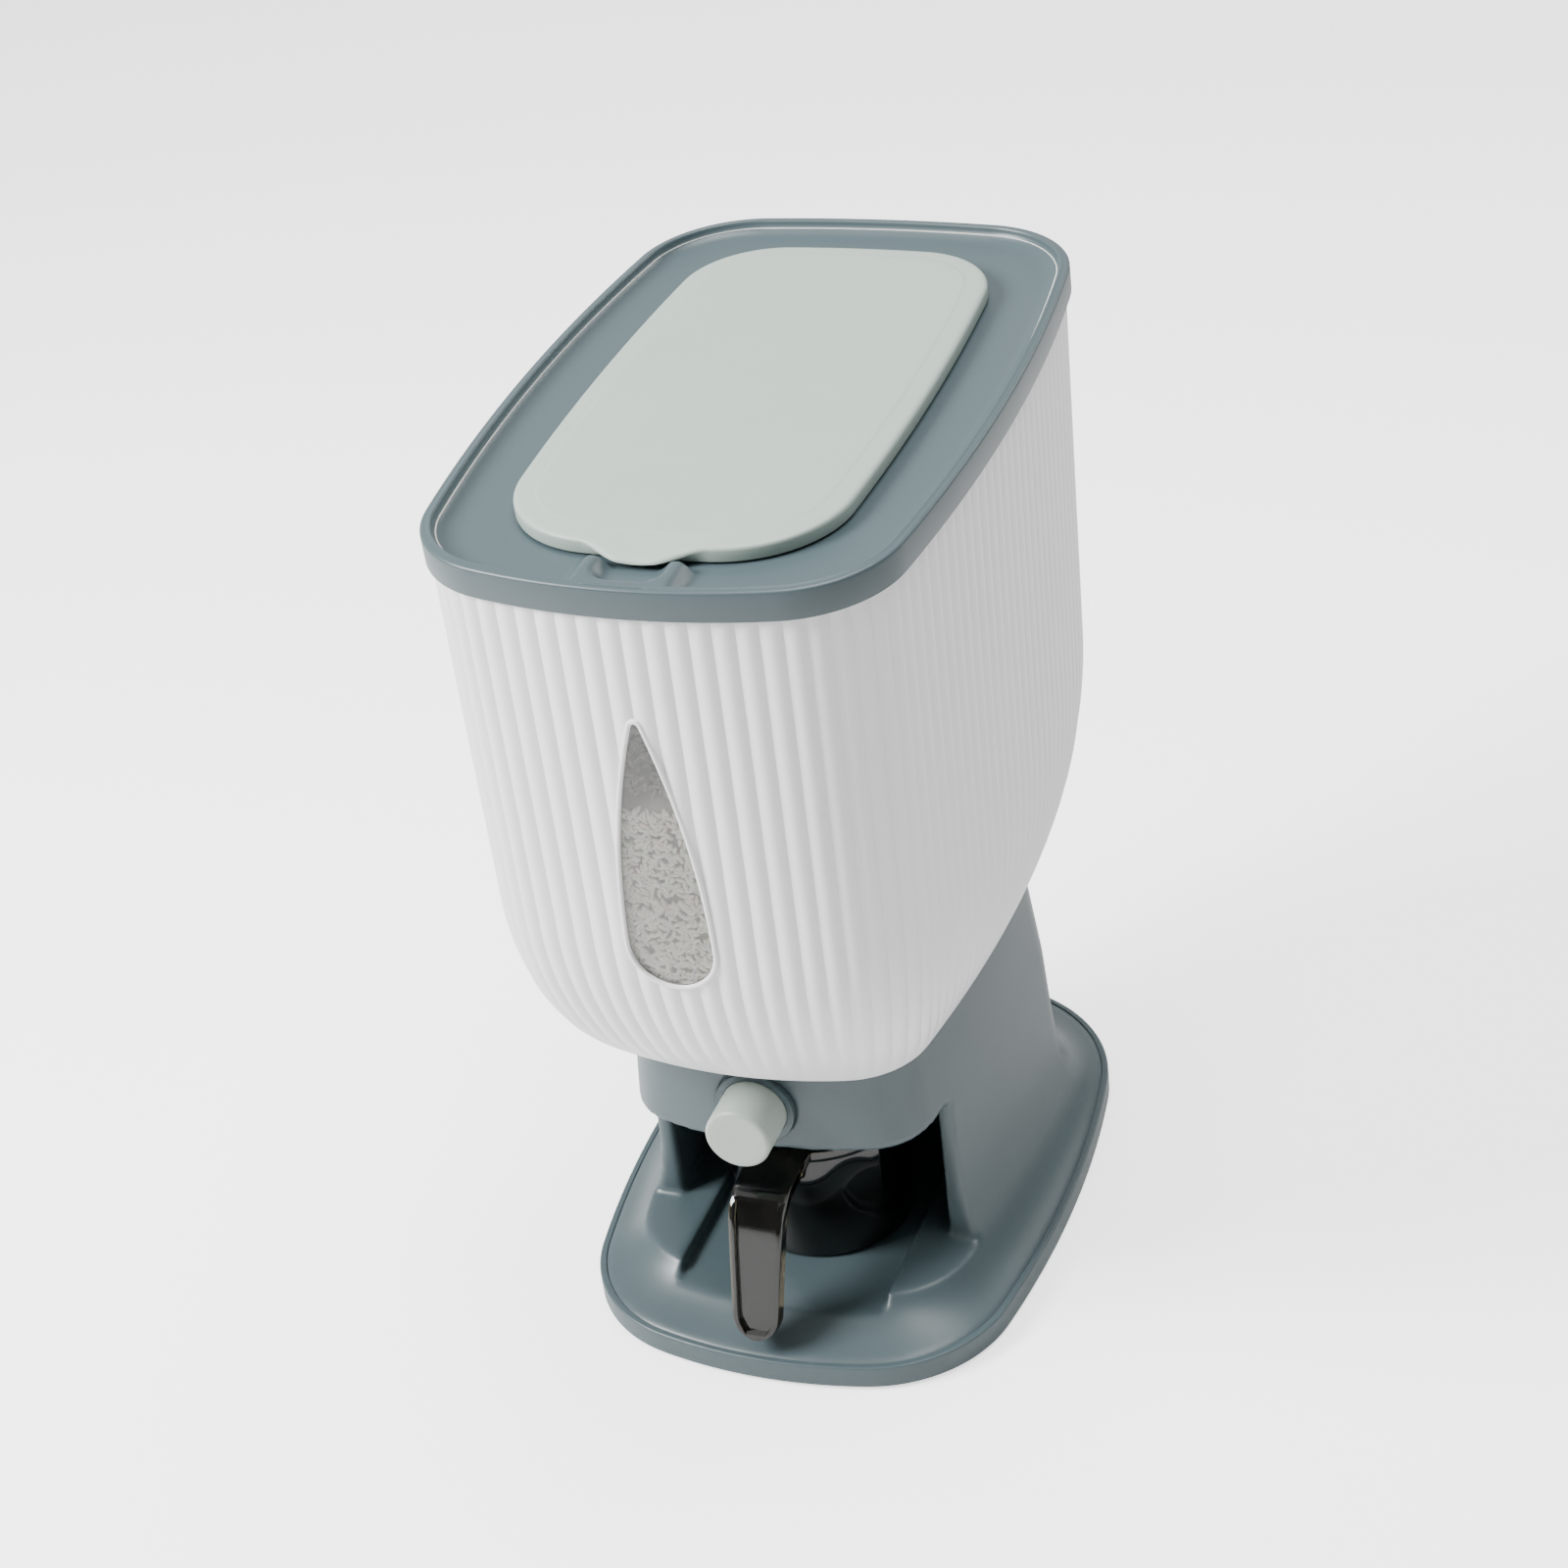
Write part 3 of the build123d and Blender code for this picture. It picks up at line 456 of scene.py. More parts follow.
def teardrop(grow):
    """The window's drop as (x, z) points: a round bottom, two long bowed flanks and a small tip."""
    count = 96
    tip = WINDOW_TIP - WINDOW_TIP_RADIUS - WINDOW_ROUND
    to_round = WINDOW_FLANK - WINDOW_RADIUS
    to_tip = WINDOW_FLANK - WINDOW_TIP_RADIUS
    rise = (to_round ** 2 - to_tip ** 2 + tip ** 2) / (2 * tip)
    reach = math.sqrt(to_round ** 2 - rise ** 2)
    low = math.atan2(-rise, reach)
    high = math.atan2(tip - rise, reach)

    def arc(x, z, radius, start, end, steps):
        """Points of one arc, without its last."""
        angles = np.linspace(start, end, steps + 1)[:-1]
        return np.column_stack([x + radius * np.cos(angles),
                                WINDOW_ROUND + z + radius * np.sin(angles)])

    flank = WINDOW_FLANK + grow
    right = arc(-reach, rise, flank, high, low, count // 2)
    bottom = arc(0.0, 0.0, WINDOW_RADIUS + grow, low, -math.pi - low, count)
    left = arc(reach, rise, flank, -math.pi - low, -math.pi - high, count // 2)
    top = arc(0.0, tip, WINDOW_TIP_RADIUS + grow, math.pi - high, high, count // 4)
    return np.concatenate([right, bottom, left, top])


class Tree:
    """A node tree that is filled in by short calls."""

    def __init__(self, tree):
        self.tree = tree

    def add(self, kind, inputs=None, **settings):
        """A node with its settings, and its inputs set to values or linked to other nodes' sockets."""
        node = self.tree.nodes.new(kind)
        for name, value in settings.items():
            setattr(node, name, value)
        self.fill(node, inputs or {})
        return node

    def fill(self, node, inputs):
        """Sets a node's inputs to values, or links them to other nodes' sockets."""
        for key, value in inputs.items():
            socket = node.inputs[key]
            if isinstance(value, bpy.types.NodeSocket):
                self.tree.links.new(value, socket)
            else:
                socket.default_value = value

    def maths(self, operation, *values):
        """The result of a sum on values or sockets."""
        return self.add("ShaderNodeMath", dict(enumerate(values)), operation=operation).outputs[0]

    def noise(self, coords, millimetres, detail=2.0):
        """Noise from 0 to 1 whose spots are about so many millimetres across."""
        return self.add("ShaderNodeTexNoise", {"Vector": coords, "Scale": 1.0 / (millimetres * MM),
                                               "Detail": detail, "Roughness": 0.55}).outputs["Fac"]

    def between(self, value, low, high):
        """A value from 0 to 1 carried to another range."""
        return self.add("ShaderNodeMapRange", {"Value": value, "To Min": low,
                                               "To Max": high}).outputs["Result"]

    def tones(self, value, rgb, darker, lighter):
        """A colour that a value carries from a darker tone to a lighter one."""
        return self.add("ShaderNodeMix", {"Factor": value, "A": four(shade(rgb, darker)),
                                          "B": four(shade(rgb, lighter))},
                        data_type="RGBA").outputs["Result"]

    def bumps(self, height, strength, millimetres):
        """A surface normal that follows a height."""
        return self.add("ShaderNodeBump", {"Height": height, "Strength": strength,
                                           "Distance": millimetres * MM}).outputs["Normal"]


def new_material(name):
    """A new material with its tree, its shader and the coordinates of its object."""
    material = bpy.data.materials.new(name)
    material.use_nodes = True
    material.node_tree.nodes.clear()
    tree = Tree(material.node_tree)
    shader = tree.add("ShaderNodeBsdfPrincipled")
    tree.add("ShaderNodeOutputMaterial", {"Surface": shader.outputs["BSDF"]})
    coords = tree.add("ShaderNodeTexCoord").outputs["Object"]
    return material, tree, shader, coords


def four(rgb):
    """A colour with its alpha."""
    return (*rgb, 1.0)


def shade(rgb, factor):
    """A colour made lighter or darker."""
    return tuple(min(1.0, c * factor) for c in rgb)


def moulded_plastic(name, rgb, roughness, bump_mm, spot_mm, cloud_mm, sheen=0.0):
    """Moulded plastic: fine spark-eroded grain, and slow changes of tone and gloss from the mould."""
    material, tree, shader, coords = new_material(name)
    cloud = tree.noise(coords, cloud_mm)
    tree.fill(shader, {
        "Base Color": tree.tones(cloud, rgb, 0.965, 1.03),
        "Roughness": tree.between(cloud, roughness - 0.04, roughness + 0.05),
        "Normal": tree.bumps(tree.noise(coords, spot_mm), 0.35, bump_mm),
        "IOR": 1.49,
        "Sheen Weight": sheen,
    })
    return material


def clear_plastic(name, rgb, roughness, ior, wave_mm):
    """Clear moulded plastic: it lets light through and has the faint waves of its flow."""
    material, tree, shader, coords = new_material(name)
    wave = tree.noise(coords, wave_mm, 1.0)
    tree.fill(shader, {
        "Base Color": four(rgb),
        "Roughness": tree.between(wave, roughness, roughness + 0.03),
        "Normal": tree.bumps(wave, 0.2, 0.05),
        "IOR": ior,
        "Transmission Weight": 1.0,
    })
    return material


def soft_rubber(name, rgb, roughness):
    """Moulded rubber or silicone: matt, with a fine bloom and a soft grain."""
    return moulded_plastic(name, rgb, roughness, bump_mm=0.03, spot_mm=0.6, cloud_mm=9.0, sheen=0.25)


def plated_steel(name, rgb):
    """Drawn or plated steel: bright, with fine scratches along its turns."""
    material, tree, shader, coords = new_material(name)
    scratch_mm, scratch_detail = 0.4, 4.0
    tree.fill(shader, {
        "Base Color": four(rgb),
        "Roughness": tree.between(tree.noise(coords, scratch_mm, scratch_detail), 0.22, 0.42),
        "Metallic": 1.0,
    })
    return material


def polished_rice(name, rgb):
    """Polished white rice: pearly grains that let a little light in, some chalkier than others."""
    material, tree, shader, coords = new_material(name)
    patch_mm = 4.0
    tree.fill(shader, {
        "Base Color": tree.tones(tree.noise(coords, patch_mm, 1.0), rgb, 0.84, 1.06),
        "Roughness": 0.38,
        "Subsurface Weight": 0.2,
        "Subsurface Scale": 2 * MM,
    })
    return material


finishes = {}


def make_finishes(rgb):
    """Every material of the dispenser, by the record's slots."""
    # Kind and colour, then roughness, height and width of the grain, and width of the clouds in mm
    moulded = {
        "blue_grey_plastic": ("polypropylene, blue-grey", rgb.blue_grey, 0.36, 0.02, 0.7, 60.0),
        "white_plastic": ("ABS, white", rgb.white, 0.33, 0.012, 0.8, 80.0),
        "pale_lid_plastic": ("polypropylene, pale grey-green", rgb.pale_green, 0.46, 0.03, 0.9, 50.0),
        "pale_knob_plastic": ("ABS, pale grey", rgb.knob_grey, 0.35, 0.012, 0.7, 20.0),
        "natural_plastic": ("acetal, natural", rgb.natural, 0.4, 0.02, 0.7, 20.0),
    }
    for slot_name, (kind, *values) in moulded.items():
        finishes[slot_name] = moulded_plastic("Moulded " + kind, *values)
    finishes.update({
        "clear_pane": clear_plastic("Clear polycarbonate", rgb.pane, 0.04, 1.58, 18.0),
        "smoky_clear": clear_plastic("Smoky clear styrene acrylonitrile", rgb.smoky, 0.02, 1.57, 22.0),
        "soft_silicone": soft_rubber("Moulded silicone", rgb.silicone, 0.6),
        "black_rubber": soft_rubber("Moulded rubber, black", rgb.rubber, 0.7),
        "zinc_steel": plated_steel("Zinc plated steel", rgb.steel),
        "spring_steel": plated_steel("Drawn spring steel wire", shade(rgb.steel, 0.85)),
        "rice": polished_rice("Polished rice", rgb.rice),
        # The second rice material is the rice's colour at half brightness: painted shade for the gaps
        # between the grains.
        "deep_rice": polished_rice("Polished rice between the grains", shade(rgb.rice, 0.5)),
    })


def finish_piece(piece, slot_name, body, *nodes, material=None):
    """Gives a piece the material of its record slot, or another material when one is named, puts it
    under its body and hides the nodes that it stands for.
    """
    piece.data.materials.clear()
    piece.data.materials.append(finishes[material or slot_name])
    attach(piece, body)
    if nodes:
        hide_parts(*nodes)


class DISPENSER_OT_finishes(bpy.types.Operator):
    """Make the materials and give them to the carried-over nodes"""

    bl_idname = "dispenser.finishes"
    bl_label = "Finishes"

    def execute(self, context):
        make_finishes(context.scene.dispenser_finish)
        for part in frame["record"]["subparts"]:
            node = frame["nodes"][part["node"]]
            node.data.materials.clear()
            node.data.materials.append(finishes[part["material_slot"]])
        return {"FINISHED"}


def geometry_group(name, inputs):
    """A geometry node group with named inputs: its tree, what they give and their identifiers."""
    group = bpy.data.node_groups.new(name, "GeometryNodeTree")
    face = group.interface
    face.new_socket("Geometry", in_out="INPUT", socket_type="NodeSocketGeometry")
    names = {}
    for label, kind in inputs.items():
        socket = face.new_socket(label, in_out="INPUT", socket_type="NodeSocket" + kind)
        names[label] = socket.identifier
    face.new_socket("Geometry", in_out="OUTPUT", socket_type="NodeSocketGeometry")
    tree = Tree(group)
    return tree, tree.add("NodeGroupInput").outputs, names


def end_group(tree, geometry, material):
    """Ends a group with real geometry that carries a material."""
    solid = tree.add("GeometryNodeRealizeInstances", {"Geometry": geometry})
    dressed = tree.add("GeometryNodeSetMaterial", {"Geometry": solid.outputs[0], "Material": material})
    tree.add("NodeGroupOutput", {"Geometry": dressed.outputs[0]})


def run_group(piece, group, names, values):
    """Runs a node group on a piece with its inputs set by label, and bakes what it makes."""
    change = piece.modifiers.new(group.name, "NODES")
    change.node_group = group
    for label, value in values.items():
        change[names[label]] = value
    bake_modifiers(piece)


def flute_group():
    """Geometry nodes that press flutes into the hopper's outer wall."""
    tree, given, names = geometry_group("Flutes", {
        "Flutes": "Float", "Depth": "Float", "Fade low": "Float", "Fade high": "Float",
        "Material": "Material"})
    place = tree.add("GeometryNodeInputPosition").outputs["Position"]
    height = tree.add("ShaderNodeSeparateXYZ", {0: place}).outputs["Z"]
    around, wall = [tree.add("GeometryNodeInputNamedAttribute", {"Name": name},
                             data_type="FLOAT").outputs[0] for name in ("around", "wall")]
    angle = tree.maths("MULTIPLY", tree.maths("MULTIPLY", around, given["Flutes"]), math.pi)
    groove = tree.maths("SUBTRACT", 1.0, tree.maths("ABSOLUTE", tree.maths("SINE", angle)))
    fade = tree.add("ShaderNodeMapRange", {"Value": height, "From Min": given["Fade low"],
                                           "From Max": given["Fade high"]},
                    interpolation_type="SMOOTHSTEP")
    on_wall = tree.maths("MULTIPLY", tree.maths("MULTIPLY", groove, fade.outputs["Result"]), wall)
    inwards = tree.maths("MULTIPLY", tree.maths("MULTIPLY", on_wall, given["Depth"]), -1.0)
    normal = tree.add("GeometryNodeInputNormal").outputs["Normal"]
    offset = tree.add("ShaderNodeVectorMath", {0: normal, "Scale": inwards},
                      operation="SCALE").outputs[0]
    moved = tree.add("GeometryNodeSetPosition", {"Geometry": given["Geometry"], "Offset": offset})
    end_group(tree, moved.outputs[0], given["Material"])
    return tree.tree, names


class DISPENSER_OT_hopper(bpy.types.Operator):
    """Build the fluted hopper and its window frame"""

    bl_idname = "dispenser.hopper"
    bl_label = "Hopper"

    points_per_flute = 8

    def execute(self, context):
        sizes = context.scene.dispenser_hopper
        count = sizes.flutes * self.points_per_flute
        outer, inner = self.wall_rings(count, sizes.wall / MM)
        rings = outer + inner[::-1]
        hopper = mesh_from("hopper", *stitched(rings))
        around = np.tile(np.arange(count) / count, len(rings))
        on_wall = np.zeros(len(around))
        on_wall[:len(outer) * count] = 1.0
        for name, values in (("around", around), ("wall", on_wall)):
            hopper.data.attributes.new(name, "FLOAT", "POINT").data.foreach_set("value", values)
        run_group(hopper, *flute_group(), {
            "Flutes": float(sizes.flutes), "Depth": sizes.flute_depth, "Fade low": sizes.fade_low,
            "Fade high": sizes.fade_high, "Material": finishes["white_plastic"]})
        self.cut_openings(hopper, sizes.window_border / MM)
        shade_smooth(hopper, 40.0)
        finish_piece(hopper, "white_plastic", "housing", "hopper_body")
        self.make_window_frame(sizes)
        return {"FINISHED"}

    def wall_rings(self, count, wall):
        """Rings up the outer wall and up the inner one, the last of them slanted like the lip."""
        bulb_rings, floor, below_lip = 30, SEAT + 3.0, 4.0
        heights = [SEAT + (BULB - SEAT) * (1 - math.cos(share * math.pi / 2))
                   for share in np.linspace(0, 1, bulb_rings)]
        inner_heights = [floor] + [z for z in heights if z > floor + 1]
        outer = [level_ring(hopper_outline(z), z, count) for z in heights]
        inner = [level_ring(hopper_outline(z).inset(wall), z, count) for z in inner_heights]
        for share in (0.08, 0.3, 0.6, 0.98, 1.0):
            height = BULB + (LIP_MIDDLE - BULB) * share
            for rings, inset in ((outer, 0.0), (inner, wall)):
                ring = level_ring(hopper_outline(height).inset(inset), height, count)
                ring[:, 2] = BULB + (lip_height(ring[:, 1], below_lip) - BULB) * share
                rings.append(ring)
        return outer, inner

    def cut_openings(self, hopper, border):
        """Cuts the window, and the hole in the floor for the funnel's spout."""
        overlap, spout_play, below, above = 0.05, 2.2, 2, 5
        before_wall, behind_wall = -170.0, -120.0
        window = prism("window hole", teardrop(border - overlap), "Y", before_wall, behind_wall)
        half_x, half_y = OUTLET_HALF + spout_play, OUTLET_HALF_LENGTH + spout_play
        spout = box_piece("spout hole", (-half_x, OUTLET_Y - half_y, SEAT - below),
                          (half_x, OUTLET_Y + half_y, SEAT + above))
        cut(hopper, [window, spout])

    def make_window_frame(self, sizes):
        """The thin raised frame round the window, rounded on its face."""
        wall, proud, border = sizes.wall / MM, sizes.window_proud / MM, sizes.window_border / MM
        line = teardrop(0.0)
        tangent = np.roll(line, -1, axis=0) - np.roll(line, 1, axis=0)
        tangent /= np.linalg.norm(tangent, axis=1)[:, None]
        outward = np.column_stack([-tangent[:, 1], tangent[:, 0]])
        if (outward[:, 0] * line[:, 0]).sum() < 0:
            outward = -outward
        # Across the border, and the share of how far it stands out, or a depth behind the wall
        width = 1.8
        section = [(0.0, -wall), (0.0, 0.2), (0.2, 0.6), (0.6, 0.9), (1.0, 1.0), (1.4, 0.85),
                   (1.7, 0.4), (width, -0.1), (width, -wall)]
        rings = []
        for across, rise in section:
            spread = across * border / width
            height = rise * proud if rise > 0 else rise
            ring = []
            for (x, z), (nx, nz) in zip(line, outward):
                px, pz = x + nx * spread, z + nz * spread
                ring.append((px, front_wall_y(px, pz) - height, pz))
            rings.append(np.array(ring))
        piece = mesh_from("window_border", *stitched(rings, round_the_profile=True))
        shade_smooth(piece, 50.0)
        finish_piece(piece, "white_plastic", "housing", "window_frame")


def lip_prism(name, outline, direction, start, end):
    """An outline pushed along an axis of the lip's plane: X for (y, z) points, Z for (x, y) points."""
    rings = []
    for place in (start, end):
        ring = [(place, a, b) if direction == "X" else (a, b, place) for a, b in outline]
        rings.append(on_lip_plane(np.array(ring)))
    return mesh_from(name, *stitched(rings))


def smoothstep(low, high, value):
    """0 below low, 1 above high and a smooth rise between."""
    share = np.clip((value - low) / (high - low), 0.0, 1.0)
    return share * share * (3 - 2 * share)


class DISPENSER_OT_lids(bpy.types.Operator):
    """Build the lid frame and the flip lid"""

    bl_idname = "dispenser.lids"
    bl_label = "Lids"

    # The lip's bead as (distance from the lip's inner edge, height) pairs
    bead = ((2.5, -0.4), (2.0, -0.3), (1.5, -0.08), (1.2, 0.0), (0.9, -0.07), (0.6, -0.35), (0.4, -0.8),
            (0.25, -1.4), (0.1, -2.2))

    # The fall from the lip to the tray as (share of the way to the flip lid, height) pairs
    fall = ((0.02, -3.0), (0.06, -4.1), (0.11, -4.9), (0.18, -5.45), (0.28, -5.8), (0.42, -6.0),
            (0.6, -6.2), (0.8, -6.35))

    def execute(self, context):
        sizes = context.scene.dispenser_lids
        self.make_frame(sizes)
        self.make_lid(sizes)
        return {"FINISHED"}

    def make_frame(self, sizes):
        """The frame's closed profile: skirt, lip, tray, collar and underside."""
        count = 1120
        skirt, shoulder, lip_foot, edge, tray_plate, bed_margin = 1.3, -1.7, -3.0, 0.4, 2.4, 4.0
        lip, tall, deep = sizes.lip_width / MM, sizes.frame_height / MM, sizes.tray_depth / MM
        inner = RIM.inset(lip)
        bed = LID.inset(-bed_margin)
        plate = deep + tray_plate
        stations = [(RIM.inset(edge), -tall), (RIM.inset(0.1), -tall + 0.15), (RIM, -tall + 0.5),
                    (RIM, shoulder)]
        for turn in np.linspace(0.0, math.pi / 2, 6)[1:]:
            stations.append((RIM.inset(skirt * (1 - math.cos(turn))),
                             shoulder + skirt * math.sin(turn)))
        scoop_start = len(stations) + 1
        stations += [(RIM.inset(lip - inset), z) for inset, z in self.bead]
        steep_end, flat_start, flat_rings = 0.25, 0.28, 26
        fall_shares, fall_heights = zip(*self.fall, (1.0, -deep))
        shares = [share for share in fall_shares if share < steep_end]
        shares += list(np.linspace(flat_start, 1.0, flat_rings))
        heights = np.interp(shares, fall_shares, fall_heights)
        stations += [(inner.blend(bed, share), z) for share, z in zip(shares, heights)]
        scoop_end = len(stations)
        collar_wall, collar_top, collar_edge = 2.0, -2.6, -3.0
        stations += [(LID.inset(1.0), -deep), (COLLAR.inset(-0.8), -deep),
                     (COLLAR.inset(-0.2), -deep + 0.3), (COLLAR, -deep + 1.0), (COLLAR, collar_edge),
                     (COLLAR.inset(0.4), collar_top), (COLLAR.inset(collar_wall - 0.4), collar_top),
                     (COLLAR.inset(collar_wall), collar_edge), (COLLAR.inset(collar_wall), -plate),
                     (inner.inset(edge), -plate), (inner, -plate + edge), (inner, lip_foot),
                     (RIM.inset(skirt), lip_foot), (RIM.inset(skirt), -tall)]
        rings = [level_ring(outline, z, count) for outline, z in stations]
        for k in range(scoop_start, scoop_end):
            rings[k] = self.with_scoop(rings[k], stations[k][1], sizes)
        rings = [on_lip_plane(ring) for ring in rings]
        body = mesh_from("frame body", *stitched(rings, round_the_profile=True))
        cut(body, [self.hinge_trench(deep)])
        ear_half, overlap = 3.7, 0.3
        ears = [self.hinge_ear(x - ear_half, x + ear_half, -deep - TRENCH_DEPTH - overlap)
                for x in (-HINGE_X, HINGE_X)]
        piece = joined("lid_surround", [body] + ears)
        shade_smooth(piece, 40.0)
        finish_piece(piece, "blue_grey_plastic", "housing", "lid_frame")

    def with_scoop(self, ring, z, sizes):
        """Raises a plateau in front of the tab, with the basin of the finger scoop sunk in it."""
        half = sizes.scoop_width / MM / 2
        x, y = ring[:, 0], ring[:, 1]
        across = np.abs(x)
        ring = ring.copy()
        lip_foot, lip_lean, lean_full, lean_end = -2.9, 0.5, 4.5, 0.8
        if z > lip_foot:
            lean = lip_lean * (1 - smoothstep(half - lean_full, half - lean_end, across))
            ring[:, 1] -= lean * (y < 0)
            return ring
        plateau_back, plateau_front, plateau_top, flank_near, flank_far = -127.8, -131.0, -1.3, 1.2, 9.0
        basin_y, basin_half, basin_depth, basin_floor, roundness = -134.5, 12.0, 4.6, 0.55, 3
        plateau = 1 - smoothstep(half + flank_near, half + flank_far, across)
        plateau = plateau * smoothstep(plateau_back, plateau_front, y)
        away_x, away_y = across / half, np.abs(y - basin_y) / basin_half
        away = (away_x ** roundness + away_y ** roundness) ** (1 / roundness)
        height = plateau_top - basin_depth * (1 - smoothstep(basin_floor, 1.0, away))
        ring[:, 2] += plateau * (np.maximum(height, ring[:, 2]) - ring[:, 2])
        return ring

    def hinge_trench(self, tray_depth):
        """The rounded trench behind the flip lid, which its edge turns into, as a closed tool."""
        half_x, half_y, radius, top, steps = 35.0, 6.25, 5.5, -1.5, 9
        outline = []
        for quarter, (side_x, side_y) in enumerate(((1, 1), (-1, 1), (-1, -1), (1, -1))):
            cx = side_x * (half_x - radius)
            cy = HINGE_Y + TRENCH_SHIFT + side_y * (half_y - radius)
            for a in np.linspace(0, math.pi / 2, steps) + quarter * math.pi / 2:
                outline.append((cx + radius * math.cos(a), cy + radius * math.sin(a)))
        return lip_prism("trench", outline, "Z", -tray_depth - TRENCH_DEPTH, top)

    def hinge_arc(self, start, end):
        """Points round the hinge axis as (y, z) pairs."""
        return [(HINGE_Y + HINGE_RADIUS * math.cos(a), HINGE_Z + HINGE_RADIUS * math.sin(a))
                for a in np.linspace(start, end, 25)]

    def hinge_ear(self, low_x, high_x, floor):
        """A lug round the hinge axis, on a narrower post that stands on a floor."""
        post_half, past_level = 1.7, 0.628
        arc = self.hinge_arc(-past_level, math.pi + past_level)
        side = [(HINGE_Y + post_half, floor)] + arc + [(HINGE_Y - post_half, floor)]
        return lip_prism("ear", side, "X", low_x, high_x)

    def make_lid(self, sizes):
        """The flip lid: a crowned cap with a faint inner line and a waved thumb tab."""
        count = 560
        top, bottom, under, wall, middle = 1.0, -5.6, -1.4, 2.2, 14.0
        stations = [(middle, top), (9.6, top), (9.0, top - 0.03), (8.5, top - 0.14), (8.1, top - 0.24),
                    (7.4, top - 0.29), (3.0, top - 0.5), (2.0, top - 0.6), (1.3, top - 0.76),
                    (0.75, top - 1.0), (0.35, top - 1.35), (0.08, top - 1.9), (0.0, top - 2.5),
                    (0.0, bottom + 0.5), (0.12, bottom + 0.15), (0.4, bottom), (wall - 0.3, bottom),
                    (wall, bottom + 0.3), (wall, under - 0.6), (wall + 0.6, under), (middle, under)]
        rings = []
        for inset, z in stations:
            ring = level_ring(LID.inset(inset), z, count)
            rings.append(on_lip_plane(self.with_tab(ring, inset, z, sizes)))
        cap = mesh_from("cap", *stitched(rings))
        notch_half, notch_front, notch_back, boss_width = 4.0, 2.9, 4.5, 5.0
        notch_overlap, boss_overlap = 0.15, 0.3
        notches = []
        for x in (-HINGE_X, HINGE_X):
            low, high = x - notch_half, x + notch_half
            near, far = HINGE_Y - notch_front, HINGE_Y + notch_back
            outline = [(low, near), (high, near), (high, far), (low, far)]
            notches.append(lip_prism("notch", outline, "Z", bottom - 1.0, under + notch_overlap))
        cut(cap, notches)
        bosses = []
        for x in (-HINGE_X, HINGE_X):
            for side in (-1, 1):
                low, high = sorted((x + side * notch_half, x + side * (notch_half + boss_width)))
                bosses.append(self.lid_boss(low, high, under + boss_overlap))
        piece = joined("lid_flap", [cap] + bosses)
        shade_smooth(piece, 40.0)
        finish_piece(piece, "pale_lid_plastic", "lid", "flip_lid")

    def lid_boss(self, low_x, high_x, root):
        """A boss that hangs from the lid round the hinge axis."""
        side = self.hinge_arc(-math.pi, math.pi / 2) + [(HINGE_Y, root), (HINGE_Y - HINGE_RADIUS, root)]
        return lip_prism("boss", side, "X", low_x, high_x)

    def with_tab(self, ring, inset, z, sizes):
        """Draws the front edge of a ring out into the thumb tab, with its waved lip."""
        wall_top, under_top, wall, flat, tab_root = -2.2, -1.4, 2.0, 12.0, 9.0
        on_wall = z < wall_top or inset > flat or (z <= under_top and inset > wall)
        if on_wall:
            return ring
        half, reach = sizes.tab_width / MM / 2, sizes.tab_reach / MM
        taper, drop, wave_drop, full = 1.5, 1.4, 0.8, 0.25
        x, y = ring[:, 0], ring[:, 1]
        ring = ring.copy()
        bump = (1 - smoothstep(half * full, half, np.abs(x))) * (y < 0)
        edge = 1 - np.clip(inset / tab_root, 0.0, 1.0)
        wave = 0.5 + 0.5 * np.cos(x / half * 2 * math.pi)
        ring[:, 1] -= bump * reach * edge**taper
        ring[:, 2] -= bump * edge * (drop + wave_drop * wave)
        return ring


